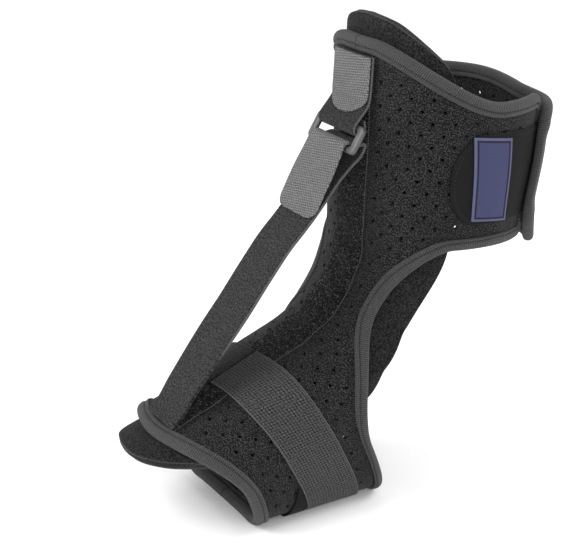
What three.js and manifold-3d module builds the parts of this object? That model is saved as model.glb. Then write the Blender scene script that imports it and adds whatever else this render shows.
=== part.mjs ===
// Dorsal night splint for a left foot: a padded wrap in front of the shin and over the
// instep, closed round the calf and the sole, with a lift strap from toe edge to shin ring.
// Millimetres, +Z up, toes towards -Y, outer ankle towards +X, standing on its sole.
import * as THREE from 'three';
import Module from 'manifold-3d';
import { mergeVertices } from 'three/addons/utils/BufferGeometryUtils.js';

// Spine: the line down the middle of the shin, round the ankle and along the instep
const shinLength = 108;
const bendRadius = 72;
const footSlope = 23.5;
const footLength = 103;
const toeHeight = 57;
const shinReach = 61;

// Sections across the spine
const calfHalfWidth = 57;
const calfDepth = 112;
const roundness = 2.3;
const frontSquareness = 3.0;
const frontStart = 55;
const frontEnd = 255;
const frontAngle = 75;
const frontFade = 40;
const soleSquareness = 4;
const soleFlat = 1.03;
const underAngle = 80;
const underFade = 60;
const sections = [
  { along: 0.00, width: 1.000, depth: 1.000 },
  { along: 0.20, width: 0.975, depth: 0.985 },
  { along: 0.37, width: 0.905, depth: 0.955 },
  { along: 0.51, width: 0.865, depth: 1.085 },
  { along: 0.65, width: 0.835, depth: 1.020 },
  { along: 0.82, width: 0.849, depth: 0.935 },
  { along: 1.00, width: 0.877, depth: 0.785 },
];

// Cloth, foam and tape
const coverThickness = 3.2;
const linerThickness = 10;
const linerClearance = 0.9;
const layerGap = 0.35;
const panelThickness = 1;
const panelHalfWidth = 14.5;
const tapeThickness = 1.05;
const tapeWidth = 8.6;
const tapeOverhang = 1.8;
const tapeClearance = 0.85;
const tapeCorner = 1.2;
const seamGap = 0.6;

// Outline of the wrap; angles run round the leg from the middle of the shin
const topRise = 8;
const topDip = 34;
const topDipStart = 12;
const topDipEnd = 98;
const nearWingAngle = 140;
const farWingAngle = 232;
const wingBottom = 110.3;
const wingCorner = 14;
const wingStep = 13;
const waistPlace = 148;
const waistAngle = 37.3;
const heelTopAngle = 72;
const heelFootAngle = 100;
const footRear = 190.5;
const toeDip = 23;
const toeDipAngle = 104;
const soleSeamAngle = 179.4;
const topDroop = 7;
const bottomDroop = 3;
const droopStart = 150;
const droopEnd = 225;
const wingLift = 7.6;
const wingLiftStart = 188;
const wingLiftEnd = 214;

// Foam liner outline: half angle along the spine, and its two rounded ends
const linerHalfAngle = 80;
const linerRise = 24;
const tongueReach = 17;
const linerSides = [
  { along: -0.08, angle: 0.86 },
  { along: 0.06, angle: 0.875 },
  { along: 0.37, angle: 0.925 },
  { along: 0.48, angle: 0.775 },
  { along: 0.57, angle: 0.80 },
  { along: 0.62, angle: 0.91 },
  { along: 0.70, angle: 0.99 },
  { along: 1.06, angle: 0.99 },
];
const linerTop = [
  { across: 0.00, drop: -0.62 },
  { across: 0.30, drop: -0.52 },
  { across: 0.58, drop: -0.17 },
  { across: 0.75, drop: 0.15 },
  { across: 0.88, drop: 0.49 },
  { across: 1.00, drop: 1.13 },
];
const linerTongue = [
  { across: -1.00, reach: -1.55 },
  { across: -0.80, reach: -0.30 },
  { across: -0.60, reach: 0.55 },
  { across: -0.30, reach: 0.95 },
  { across: 0.00, reach: 1.00 },
  { across: 0.30, reach: 0.50 },
  { across: 0.58, reach: -0.45 },
  { across: 0.80, reach: -1.15 },
  { across: 1.00, reach: -1.55 },
];

// Perforations of the cover
const holeRadius = 1.2;
const holePitch = 13.4;
const holeRowPitch = 7;
const holeSides = 4;
const holeMargin = 4;
const holeOverrun = 1.5;
const holeFields = [
  { from: 20, to: 50, top: 0.08, bottom: 0.315 },
  { from: 38, to: 84, top: 0.87, bottom: 0.90 },
];

// Calf closure tab and its patch
const tabThickness = 1.6;
const tabPlace = 68.7;
const tabSlant = 2;
const tabWidth = 56;
const tabTipAngle = 63.5;
const tabRoundAngle = 84;
const patchThickness = 0.8;
const patchWidthAngle = 27;
const patchLength = 52;
const patchAngle = 90.5;
const patchTurn = 5.5;
const patchDrop = 3.5;

// Instep band, its hook end and the sole tab
const bandWidth = 34.5;
const bandPlace = 231.5;
const bandSlant = 10;
const bandThickness = 1.3;
const bandEndAngle = 3;
const bandTabAngle = 40;
const bandTabRound = 12;
const bandClimbEnd = 20;
const bandClimbRun = 30;
const bandSlack = 0.05;
const soleTabStart = 1;
const soleTabWiden = 4;
const soleTabReach = 14;

// Straps in the middle plane and the ring between them
const strapThickness = 2.2;
const strapClearance = 0.5;
const strapWidth = 35;
const strapBaseWidth = 31;
const slotWidth = 35.5;
const hookWidth = 40;
const hookThickness = 1.3;
const ringStrapTurn = { from: 80, to: 275 };
const liftStrapTurn = { from: -40, to: 75 };
const hookTurn = { from: 88, to: 112 };
const ringStrapWidth = 38;
const ringStrapThickness = 1.8;
const ringStrapLeave = 20;
const bowShare = 0.6;
const bowFade = 1.8;
const topTabLength = 37;
const topTabWidth = 37;
const ringWidth = 49;
const ringHeight = 17.5;
const ringBar = 3.6;
const ringEndBar = 5;
const ringThickness = 3.4;
const ringBevel = 0.7;
const ringCorner = 3;
const slotCorner = 1.6;
const ringTilt = 59.5;
const ringDrop = 47;
const ringStandOff = 11;

const rad = THREE.MathUtils.degToRad;
const bendAngle = 90 - footSlope;
const bendLength = bendRadius * rad(bendAngle);
const footStart = shinLength + bendLength;
const spineLength = footStart + footLength;
const soleHeight = coverThickness + tapeClearance + tapeThickness;

// Value of a column at a place, on a smooth curve through the rows
function readTable(rows, place, column, at) {
  const last = rows.length - 1;
  const here = THREE.MathUtils.clamp(at, rows[0][place], rows[last][place]);
  let i = 0;
  while (i < last - 1 && here > rows[i + 1][place]) i += 1;
  const slope = (k) => {
    const before = rows[Math.max(k - 1, 0)];
    const after = rows[Math.min(k + 1, last)];
    return (after[column] - before[column]) / (after[place] - before[place]);
  };
  const span = rows[i + 1][place] - rows[i][place];
  const t = (here - rows[i][place]) / span;
  const start = rows[i][column];
  const end = rows[i + 1][column];
  return start * (1 + 2 * t) * (1 - t) ** 2 + end * (3 - 2 * t) * t ** 2
    + span * t * (1 - t) * (slope(i) * (1 - t) - slope(i + 1) * t);
}

const ease = (x) => THREE.MathUtils.smoothstep(x, 0, 1);

// Point of the spine, and the direction from it into the leg, both in the YZ plane
function spineAt(s) {
  const footRise = footLength * Math.sin(rad(footSlope));
  const centreZ = toeHeight + footRise + bendRadius * Math.sin(rad(bendAngle));
  const turn = THREE.MathUtils.clamp((s - shinLength) / bendRadius, 0, rad(bendAngle));
  const run = s < shinLength ? s - shinLength : Math.max(s - footStart, 0);
  const y = -shinReach - bendRadius * (1 - Math.cos(turn)) - run * Math.sin(turn);
  const z = centreZ - bendRadius * Math.sin(turn) - run * Math.cos(turn);
  return { y, z, inY: Math.cos(turn), inZ: -Math.sin(turn) };
}

// Inner face of the wrap, at a length along the spine and an angle round it
function onForm(s, angle) {
  const share = s / spineLength;
  const spine = spineAt(s);
  const halfWidth = calfHalfWidth * readTable(sections, 'along', 'width', share);
  const free = calfDepth * readTable(sections, 'along', 'depth', share);
  const footBlend = ease((s - shinLength - bendLength / 2) / (bendLength / 2));
  const toSole = footBlend > 0 ? soleFlat * (spine.z - soleHeight) / -spine.inZ : 0;
  const depth = THREE.MathUtils.lerp(free, toSole, footBlend);
  const under = ease((Math.abs(angle) - underAngle) / underFade) * footBlend;
  const front = ease((frontAngle - Math.abs(angle)) / frontFade) * ease((s - frontStart) / frontFade)
    * ease((frontEnd - s) / frontFade);
  const power = roundness + (soleSquareness - roundness) * under
    + (frontSquareness - roundness) * front;
  const sine = Math.sin(rad(angle));
  const cosine = Math.cos(rad(angle));
  const radius = (Math.abs(sine) ** power + Math.abs(cosine) ** power) ** (-1 / power);
  const inward = depth / 2 * (1 - radius * cosine);
  const height = spine.z + spine.inZ * inward;
  const onFoot = footBlend > 0 ? Math.max(height, soleHeight) : height;
  return new THREE.Vector3(halfWidth * radius * sine, spine.y + spine.inY * inward, onFoot);
}

// The far wing laps over the near one behind the calf
const lapLift = (angle) => wingLift * ease((-angle - wingLiftStart) / (wingLiftEnd - wingLiftStart));

// Point at a distance outside the inner face
function skin(s, angle, off) {
  const step = 0.5;
  const down = onForm(s + step, angle).sub(onForm(s - step, angle));
  const round = onForm(s, angle + step).sub(onForm(s, angle - step));
  const normal = down.cross(round).normalize();
  return onForm(s, angle).addScaledVector(normal, off + lapLift(angle));
}

// Millimetres along the surface for one millimetre of s and for one degree
function stretch(s, angle) {
  const step = 0.5;
  const along = skin(s + step, angle, 0).distanceTo(skin(s - step, angle, 0));
  const round = skin(s, angle + step, 0).distanceTo(skin(s, angle - step, 0));
  return { along, round };
}

// Share of its droop that the far wing has reached, on its way round the calf
const droopShare = (angle) => ease((-angle - droopStart) / (droopEnd - droopStart));

// Edges of the cover, as functions of the angle
const topEdge = (angle) => -topRise + topDroop * droopShare(angle)
  + topDip * ease((Math.abs(angle) - topDipStart) / (topDipEnd - topDipStart));
const toeEdge = (angle) => spineLength - toeDip * ease(Math.abs(angle) / toeDipAngle);
const arch = (x) => Math.sqrt(Math.max(1 - x ** 2, 0));

function wingEdge(angle) {
  const turn = Math.max(heelTopAngle - Math.abs(angle), 0) / (heelTopAngle - waistAngle);
  return waistPlace + bottomDroop * droopShare(angle)
    - (waistPlace - wingBottom) * arch(Math.min(turn, 1));
}

function footEdge(angle) {
  const turn = Math.max(heelFootAngle - Math.abs(angle), 0) / (heelFootAngle - waistAngle);
  return waistPlace + (footRear - waistPlace) * arch(Math.min(turn, 1));
}

const wingEnd = (side) => (side > 0 ? nearWingAngle : farWingAngle);

// How far the rounded corner at a wing's end draws the edge in
function cornerDraw(side, angle) {
  const perDegree = stretch(shinLength / 2, 90).round;
  const into = wingCorner - (wingEnd(side) - Math.abs(angle)) * perDegree;
  return into > 0 ? wingCorner * (1 - arch(Math.min(into / wingCorner, 1))) : 0;
}

// Evenly spaced values, both ends included
const spread = (from, to, count) =>
  Array.from({ length: count + 1 }, (_, i) => from + (to - from) * i / count);

// Angles from the waist outwards, closer together where the edge turns
function archAngles(reach, count) {
  return spread(0, 90, count).map((turn) =>
    reach - (reach - waistAngle) * Math.cos(rad(turn)));
}

// Angles from the waist to a wing's end, shared by the cover and its tape
function wingAngles(side) {
  const perDegree = stretch(shinLength / 2, 90).round;
  const corner = wingCorner / perDegree;
  const steps = Math.round((wingEnd(side) - heelTopAngle) / wingStep);
  const flat = spread(heelTopAngle, wingEnd(side) - corner, steps).slice(1);
  const round = spread(0, 90, 3).slice(1).map((turn) =>
    wingEnd(side) - corner + corner * Math.sin(rad(turn)));
  return [...archAngles(heelTopAngle, 6), ...flat, ...round];
}

// Angles from the side of the foot to the seam under it, shared by all that lies there
const soleTurns = [0, 0.1, 0.2, 0.29, 0.37, 0.45, 0.53, 0.62, 0.74, 0.87, 1];
const soleAngles = soleTurns.map((turn) => heelFootAngle + (soleSeamAngle - heelFootAngle) * turn);
const footAngles = () => [...archAngles(heelFootAngle, 6), ...soleAngles.slice(1)];

// A sheet is a list of flat patches in (s, angle); it becomes one solid of even thickness
class Sheet {
  constructor() {
    this.points = [];
    this.faces = [];
    this.index = new Map();
  }

  vertex(s, angle) {
    const key = `${s.toFixed(4)}_${angle.toFixed(4)}`;
    if (!this.index.has(key)) {
      this.index.set(key, this.points.length);
      this.points.push([s, angle]);
    }
    return this.index.get(key);
  }

  // Grid patch: columns are angles, and shares run from the start edge to the end edge
  patch(angles, shares, start, end) {
    const at = (angle, share) => this.vertex(start(angle) + (end(angle) - start(angle)) * share, angle);
    for (let j = 0; j < angles.length - 1; j += 1) {
      for (let i = 0; i < shares.length - 1; i += 1) {
        const a = at(angles[j], shares[i]);
        const b = at(angles[j], shares[i + 1]);
        const c = at(angles[j + 1], shares[i + 1]);
        const d = at(angles[j + 1], shares[i]);
        const rising = angles[j + 1] > angles[j];
        for (const face of [[a, b, c], [a, c, d]]) {
          if (new Set(face).size === 3) this.faces.push(rising ? face : face.reverse());
        }
      }
    }
    return this;
  }

  thicken(inner, outer, place = skin) {
    const count = this.points.length;
    const skinAt = (off) => this.points.map(([s, angle]) => place(s, angle, off(s, angle)));
    const positions = [...skinAt(outer), ...skinAt(inner)].flatMap((p) => p.toArray());
    const edges = new Map();
    const index = [];
    for (const [a, b, c] of this.faces) {
      index.push(a, b, c, a + count, c + count, b + count);
      for (const [from, to] of [[a, b], [b, c], [c, a]]) edges.set(`${from}_${to}`, [from, to]);
    }
    for (const [from, to] of edges.values()) {
      if (!edges.has(`${to}_${from}`)) {
        index.push(to, from, from + count, to, from + count, to + count);
      }
    }
    return closedGeometry(positions, index);
  }
}

function closedGeometry(positions, index) {
  const geometry = new THREE.BufferGeometry();
  geometry.setAttribute('position', new THREE.Float32BufferAttribute(positions, 3));
  geometry.setIndex(index);
  geometry.computeVertexNormals();
  return geometry;
}

const evenly = (off) => () => off;

// Solid from rings of points, one ring for each station, closed by the triangles of its caps
function loft(rings, caps) {
  const sides = rings[0].length;
  const positions = rings.flat().flatMap((p) => p.toArray());
  const index = [];
  for (let i = 0; i < rings.length - 1; i += 1) {
    for (let j = 0; j < sides; j += 1) {
      const k = (j + 1) % sides;
      const [a, b] = [i * sides + j, i * sides + k];
      const [c, d] = [b + sides, a + sides];
      index.push(a, b, c, a, c, d);
    }
  }
  const end = (rings.length - 1) * sides;
  for (const [a, b, c] of caps) index.push(c, b, a, a + end, b + end, c + end);
  return closedGeometry(positions, index);
}

// Turn the solid's faces outwards if its volume comes out negative
function facingOut(geometry) {
  const p = geometry.attributes.position;
  const index = geometry.index.array;
  const [a, b, c] = [new THREE.Vector3(), new THREE.Vector3(), new THREE.Vector3()];
  let volume = 0;
  for (let i = 0; i < index.length; i += 3) {
    a.fromBufferAttribute(p, index[i]);
    b.fromBufferAttribute(p, index[i + 1]);
    c.fromBufferAttribute(p, index[i + 2]);
    volume += a.dot(b.cross(c));
  }
  if (volume < 0) {
    for (let i = 0; i < index.length; i += 3) [index[i], index[i + 1]] = [index[i + 1], index[i]];
  }
  return geometry;
}

// Cover: both calf wings, the waist and both foot wings
const middleAngles = [0, 0.28, 0.54, 0.79, 1].map((share) => share * waistAngle);
const upperShares = [0, 0.2, 0.4, 0.58, 0.72, 0.79, 0.85, 0.9, 0.95, 1];
const lowerShares = [0, 0.055, 0.11, 0.165, 0.22, 0.28, 0.36, 0.48, 0.62, 0.76, 0.89, 1];

function coverSheet() {
  const sheet = new Sheet();
  const waist = () => waistPlace;
  const middle = [...middleAngles.slice(1).reverse().map((angle) => -angle), ...middleAngles];
  sheet.patch(middle, upperShares, topEdge, waist);
  sheet.patch(middle, lowerShares, waist, toeEdge);
  for (const side of [1, -1]) {
    const wing = wingAngles(side).map((angle) => angle * side);
    const top = (angle) => topEdge(angle) + cornerDraw(side, angle);
    const bottom = (angle) => wingEdge(angle) - cornerDraw(side, angle);
    sheet.patch(wing, upperShares, top, bottom);
    sheet.patch(footAngles().map((angle) => angle * side), lowerShares, footEdge, toeEdge);
  }
  return sheet;
}

// Perforations in staggered rows, mirrored to both sides
function holePlaces() {
  const places = [];
  for (const field of holeFields) {
    const rows = Math.floor((field.bottom - field.top) * spineLength / holeRowPitch);
    for (let row = 0; row <= rows; row += 1) {
      const s = field.top * spineLength + row * holeRowPitch;
      const pitch = holePitch / stretch(s, (field.from + field.to) / 2).round;
      const first = field.from + (row % 2) * pitch / 2;
      for (let angle = first; angle < field.to; angle += pitch) {
        const margin = tapeWidth - tapeOverhang + holeMargin;
        const above = s - topEdge(angle) > margin;
        const onWing = wingEdge(angle) - s > margin && s < waistPlace;
        const onFootWing = s - footEdge(angle) > margin && toeEdge(angle) - s > margin;
        if (above && (onWing || onFootWing)) places.push([s, angle], [s, -angle]);
      }
    }
  }
  return places;
}

function holePins() {
  const positions = [];
  const index = [];
  const reach = coverThickness + holeOverrun;
  for (const [s, angle] of holePlaces()) {
    const low = skin(s, angle, -holeOverrun);
    const high = skin(s, angle, reach);
    const axis = high.clone().sub(low).normalize();
    const across = new THREE.Vector3(0, 1, 0).cross(axis).normalize();
    const other = axis.clone().cross(across);
    const base = positions.length / 3;
    for (const end of [low, high]) {
      for (const turn of spread(0, 360, holeSides).slice(0, holeSides)) {
        const point = end.clone()
          .addScaledVector(across, holeRadius * Math.cos(rad(turn)))
          .addScaledVector(other, holeRadius * Math.sin(rad(turn)));
        positions.push(...point.toArray());
      }
    }
    for (let i = 0; i < holeSides; i += 1) {
      const k = (i + 1) % holeSides;
      index.push(base + i, base + k, base + k + holeSides);
      index.push(base + i, base + k + holeSides, base + i + holeSides);
      if (i > 0 && k > 0) {
        index.push(base, base + k, base + i);
        index.push(base + holeSides, base + i + holeSides, base + k + holeSides);
      }
    }
  }
  return closedGeometry(positions, index);
}

const wasm = await Module();
wasm.setup();

function toSolid(geometry) {
  const bare = geometry.clone();
  bare.deleteAttribute('normal');
  bare.deleteAttribute('uv');
  const merged = mergeVertices(bare, 1e-4);
  return new wasm.Manifold(new wasm.Mesh({
    numProp: 3,
    vertProperties: new Float32Array(merged.attributes.position.array),
    triVerts: new Uint32Array(merged.index.array),
  }));
}

function toGeometry(solid) {
  const mesh = solid.getMesh();
  return closedGeometry(Array.from(mesh.vertProperties), Array.from(mesh.triVerts));
}

function cover() {
  const cloth = toSolid(coverSheet().thicken(evenly(0), evenly(coverThickness)));
  return toGeometry(cloth.subtract(toSolid(facingOut(holePins()))));
}

// Binding tape: a channel that grips the cover's edge, carried along a path in (s, angle)
function tapeProfile() {
  const grip = tapeWidth - tapeOverhang;
  const inner = tapeClearance;
  const outer = tapeClearance + tapeThickness;
  const high = coverThickness;
  const pairs = [
    [grip, high + inner], [grip, high + outer],
    [tapeCorner - tapeOverhang, high + outer], [-tapeOverhang, high + outer - tapeCorner],
    [-tapeOverhang, -outer], [grip, -outer],
    [grip, -inner], [-inner, -inner], [-inner, high + inner],
  ];
  return pairs.map(([x, y]) => new THREE.Vector2(x, y));
}

function tape(path, inward) {
  const outline = tapeProfile();
  const rings = path.map(([s, angle], i) => {
    const [s0, a0] = path[Math.max(i - 1, 0)];
    const [s1, a1] = path[Math.min(i + 1, path.length - 1)];
    const scale = stretch(s, angle);
    const tangent = new THREE.Vector2((s1 - s0) * scale.along, (a1 - a0) * scale.round).normalize();
    return outline.map(({ x, y }) => {
      const ds = inward * tangent.y * x / scale.along;
      const da = -inward * tangent.x * x / scale.round;
      return skin(s + ds, angle + da, y);
    });
  });
  return facingOut(loft(rings, THREE.ShapeUtils.triangulateShape(outline, [])));
}

// The cover's edge from the middle of the top, round a wing's end, to the sole seam
function sidePath(side) {
  const path = [];
  const put = (s, angle) => path.push([s, angle * side]);
  const wing = wingAngles(side);
  const end = wingEnd(side);
  const top = (angle) => topEdge(angle * side) + cornerDraw(side, angle);
  const bottom = (angle) => wingEdge(angle * side) - cornerDraw(side, angle);
  const first = [seamGap / 2, 2, ...middleAngles.slice(1, -1)];
  for (const angle of [...first, ...wing]) put(top(angle), angle);
  for (const s of spread(top(end), bottom(end), 4).slice(1, -1)) put(s, end);
  for (const angle of [...wing].reverse()) put(bottom(angle), angle);
  for (const angle of archAngles(heelFootAngle, 6).slice(1)) put(footEdge(angle), angle);
  for (const angle of soleAngles.slice(1)) put(footRear, angle);
  return path;
}

function toePath() {
  const half = [...spread(0, heelFootAngle, 8), ...soleAngles.slice(1)];
  const round = [...half.slice(1).reverse(), ...half.map((angle) => -angle)];
  return round.map((angle) => [toeEdge(angle), angle]);
}

// Foam liner between the leg and the cover
const linerTopOff = -tapeClearance - tapeThickness - linerClearance;

function liner() {
  const sheet = new Sheet();
  const across = [-1, -0.94, -0.8, -0.6, -0.4, -0.2, 0, 0.2, 0.4, 0.6, 0.8, 0.94, 1];
  const shares = [0, 0.1, 0.24, 0.36, 0.41, 0.45, 0.49, 0.53, 0.57, 0.61, 0.65, 0.74, 0.85, 0.93, 1];
  const top = (a) => -topRise + linerRise * readTable(linerTop, 'across', 'drop', Math.abs(a));
  const tip = (a) => spineLength + tongueReach * readTable(linerTongue, 'across', 'reach', a);
  sheet.patch(across, shares, top, tip);
  const place = (s, a, off) =>
    skin(s, a * linerHalfAngle * readTable(linerSides, 'along', 'angle', s / spineLength), off);
  const taper = (s, a) => linerTopOff - linerThickness * (Math.abs(a) > 0.99 ? 0.75 : 1);
  return sheet.thicken(taper, evenly(linerTopOff), place);
}

// Fleece panel down the middle, placed by its distance from the middle line
function middlePanel() {
  const sheet = new Sheet();
  const grip = tapeWidth - tapeOverhang + 2 * seamGap;
  const across = spread(-1, 1, 4);
  const shares = [0, 0.2, 0.38, ...spread(0.41, 0.72, 10), 0.85, 1];
  const angleAt = (s, a) => a * panelHalfWidth / stretch(s, 0).round;
  sheet.patch(across, shares, (a) => topEdge(angleAt(0, a)) + grip,
    (a) => toeEdge(angleAt(spineLength, a)) - grip);
  const low = coverThickness + layerGap;
  const place = (s, a, off) => skin(s, angleAt(s, a), off);
  return sheet.thicken(evenly(low), evenly(low + panelThickness), place);
}

const tabOff = coverThickness + layerGap;

// Line down the middle of the calf tab, which slopes towards the back
const tabRoot = nearWingAngle
  - (tapeWidth - tapeOverhang + 2 * seamGap) / stretch(shinLength / 2, 90).round;
const tabMiddle = (angle) =>
  tabPlace + tabSlant * (angle - tabTipAngle) / (tabRoot - tabTipAngle);

function calfTab() {
  const reach = tabRoundAngle - tabTipAngle;
  const half = (angle) => tabWidth / 2 * arch(Math.max(tabRoundAngle - angle, 0) / reach);
  const tip = spread(0, 90, 6).map((turn) => tabRoundAngle - reach * Math.cos(rad(turn)));
  const sheet = new Sheet();
  const rest = wingAngles(1).filter((angle) => angle > tabRoundAngle && angle < tabRoot);
  sheet.patch([...tip, ...rest, tabRoot], spread(0, 1, 3),
    (angle) => tabMiddle(angle) - half(angle), (angle) => tabMiddle(angle) + half(angle));
  return sheet.thicken(evenly(tabOff), evenly(tabOff + tabThickness));
}

// Bare patch on the tab: across and down run from -0.5 to 0.5
function labelPatch() {
  const low = tabOff + tabThickness + layerGap;
  const sheet = new Sheet();
  sheet.patch(spread(-0.5, 0.5, 3), spread(0, 1, 3), () => -0.5, () => 0.5);
  const place = (down, across, off) => skin(
    tabMiddle(patchAngle) + patchLength * down + patchDrop * across,
    patchAngle + patchWidthAngle * across + patchTurn * down,
    off,
  );
  return sheet.thicken(evenly(low), evenly(low + patchThickness), place);
}

// The band climbs over the panel on the instep and lies on the cover elsewhere
const bandMiddle = (angle) => bandPlace - bandSlant * angle / nearWingAngle;
const bandFront = (angle) => bandMiddle(angle) + bandWidth / 2;
const bandRear = (angle) => bandMiddle(angle) - bandWidth / 2;

function bandOff(angle) {
  const climb = 1 - ease((Math.abs(angle) - bandClimbEnd) / bandClimbRun);
  return coverThickness + layerGap + bandSlack + (panelThickness + layerGap) * climb;
}

function bandSolid(angles, start, end) {
  const sheet = new Sheet();
  sheet.patch(angles, spread(0, 1, 3), start, end);
  return sheet.thicken((s, angle) => bandOff(angle), (s, angle) => bandOff(angle) + bandThickness);
}

const instepBand = () =>
  bandSolid([...spread(-bandEndAngle, heelFootAngle, 12), ...soleAngles.slice(1)], bandRear, bandFront);

function bandTab() {
  const start = bandEndAngle + layerGap;
  const roundFrom = bandTabAngle - bandTabRound;
  const half = (angle) => bandWidth / 2
    * arch(Math.max(-angle - roundFrom, 0) / (bandTabAngle - roundFrom));
  const tip = spread(90, 0, 5).map((turn) => -roundFrom - bandTabRound * Math.sin(rad(turn)));
  const angles = [...tip, ...spread(-roundFrom, -start, 4).slice(1)];
  return bandSolid(angles, (angle) => bandMiddle(angle) - half(angle),
    (angle) => bandMiddle(angle) + half(angle));
}

function soleTab() {
  const first = soleAngles[soleTabStart];
  const widest = soleAngles[soleTabStart + soleTabWiden];
  const reach = (angle) => soleTabReach * Math.min((angle - first) / (widest - first), 1);
  const edge = (angle) => bandFront(angle) + seamGap;
  const angles = soleAngles.slice(soleTabStart);
  return bandSolid(angles, edge, (angle) => edge(angle) + reach(angle));
}

// Straps: a flat ribbon along a route in the YZ plane, bowed where it lies on the shin
function curveOf(route) {
  const points = route.map(([y, z]) => new THREE.Vector3(0, y, z));
  return new THREE.CatmullRomCurve3(points, false, 'centripetal');
}

function ribbon(curve, ribbonShape) {
  const { steps, thickness, widthAt, lanes = 1, bowAt = () => 0, end = 1, off = 0 } = ribbonShape;
  const rings = spread(0, 1, steps).map((t) => {
    const tangent = curve.getTangentAt(t * end);
    const normal = new THREE.Vector3(1, 0, 0).cross(tangent).normalize();
    const centre = curve.getPointAt(t * end).addScaledVector(normal, off);
    const put = (a, side) => centre.clone()
      .add(new THREE.Vector3(a * widthAt(t) / 2, 0, 0))
      .addScaledVector(normal, side * thickness / 2)
      .add(new THREE.Vector3(0, bowAt(t) * a ** 2, 0));
    return [
      ...spread(-1, 1, lanes).map((a) => put(a, 1)),
      ...spread(1, -1, lanes).map((a) => put(a, -1)),
    ];
  });
  const last = 2 * lanes + 1;
  const caps = Array.from({ length: lanes }, (_, i) =>
    [[i, i + 1, last - i - 1], [i, last - i - 1, last - i]]).flat();
  return facingOut(loft(rings, caps));
}

// Ring in the middle plane, with its bars' centres and its own up and out directions
const panelFace = coverThickness + layerGap + panelThickness;
const ringUp = [Math.cos(rad(ringTilt)), Math.sin(rad(ringTilt))];
const ringOut = [-ringUp[1], ringUp[0]];
const ringCentre = [-shinReach - panelFace - ringStandOff, spineAt(ringDrop).z];
const fromRing = (up, out) => [
  ringCentre[0] + up * ringUp[0] + out * ringOut[0],
  ringCentre[1] + up * ringUp[1] + out * ringOut[1],
];
const barMiddle = (ringHeight - ringBar) / 2;

function roundedBox(width, height, radius) {
  const shape = new THREE.Path();
  const [x, y] = [width / 2 - radius, height / 2 - radius];
  shape.absarc(x, y, radius, 0, Math.PI / 2);
  shape.absarc(-x, y, radius, Math.PI / 2, Math.PI);
  shape.absarc(-x, -y, radius, Math.PI, Math.PI * 1.5);
  shape.absarc(x, -y, radius, Math.PI * 1.5, Math.PI * 2);
  return shape;
}

function ring() {
  const outer = roundedBox(ringWidth - 2 * ringBevel, ringHeight - 2 * ringBevel, ringCorner);
  const shape = new THREE.Shape(outer.getPoints(1));
  const openWidth = ringWidth - 2 * ringEndBar + 2 * ringBevel;
  const slotHeight = ringHeight - 2 * ringBar + 2 * ringBevel;
  shape.holes.push(new THREE.Path(roundedBox(openWidth, slotHeight, slotCorner).getPoints(1)));
  const geometry = new THREE.ExtrudeGeometry(shape, {
    depth: ringThickness - 2 * ringBevel,
    bevelEnabled: true,
    bevelThickness: ringBevel,
    bevelSize: ringBevel,
    bevelSegments: 1,
  });
  return geometry.translate(0, 0, ringBevel - ringThickness / 2);
}

// Turn of a strap round one of the ring's bars, at the strap's middle thickness
function barTurn(up, thickness, { from, to }, count) {
  const reach = Math.hypot(ringBar, ringThickness) / 2 + strapClearance + thickness / 2;
  return spread(from, to, count).map((turn) =>
    fromRing(up + reach * Math.cos(rad(turn)), reach * Math.sin(rad(turn))));
}

// How far the shin falls back at a distance to the side of its middle line
function fallBack(width) {
  const angle = width / 2 / stretch(ringDrop / 2, 0).round;
  return bowShare * (onForm(ringDrop / 2, angle).y - onForm(ringDrop / 2, 0).y);
}

function ringStrapCurve() {
  const start = spineAt(topEdge(ringStrapWidth / 2) + tapeWidth - tapeOverhang + seamGap).z;
  const face = -shinReach - panelFace - layerGap - ringStrapThickness / 2;
  const leave = spineAt(ringDrop - ringStrapLeave).z;
  const turn = barTurn(barMiddle, ringStrapThickness, ringStrapTurn, 7);
  return curveOf([
    [face, start], [face, (start + leave) / 2], [face, leave + 4], [face - 1, leave - 1],
    ...turn, fromRing(barMiddle + ringBar + ringStrapThickness, -0.4),
  ]);
}

function ringStrap() {
  const bow = fallBack(ringStrapWidth);
  return ribbon(ringStrapCurve(), {
    steps: 20,
    thickness: ringStrapThickness,
    widthAt: () => ringStrapWidth,
    lanes: 2,
    bowAt: (t) => bow * (1 - ease(t * bowFade)),
  });
}

function topTab() {
  const curve = ringStrapCurve();
  const roundPart = 0.42;
  const bow = fallBack(ringStrapWidth);
  const end = topTabLength / curve.getLength();
  return ribbon(curve, {
    steps: 12,
    thickness: hookThickness,
    widthAt: (t) => topTabWidth * Math.max(arch(Math.max(t - 1 + roundPart, 0) / roundPart), 0.3),
    lanes: 2,
    bowAt: (t) => bow * (1 - ease(t * end * bowFade)),
    end,
    off: -(ringStrapThickness / 2 + strapClearance + hookThickness / 2),
  });
}

// Lift strap: from the toe edge to the ring, through it from behind and over its lower bar.
// The tables give the distance out from the straight line between those two places.
const strapRoot = spineLength - tapeWidth + tapeOverhang - seamGap;
const strapRun = [
  { along: 0.033, out: -2.4 },
  { along: 0.12, out: -2.2 },
  { along: 0.29, out: -3.0 },
  { along: 0.415, out: -4.3 },
  { along: 0.54, out: -4.8 },
  { along: 0.65, out: -5.8 },
  { along: 0.72, out: -7.8 },
  { along: 0.78, out: -9.2 },
  { along: 0.85, out: -10.2 },
  { along: 0.91, out: -11.0 },
  { along: 0.965, out: -12.9 },
  { along: 1.01, out: -14.9 },
  { along: 1.045, out: -13.2 },
];
const hookRun = [
  { along: 0.935, out: -2.2 },
  { along: 0.86, out: -4.0 },
  { along: 0.79, out: -6.0 },
  { along: 0.76, out: -6.1 },
];

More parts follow.
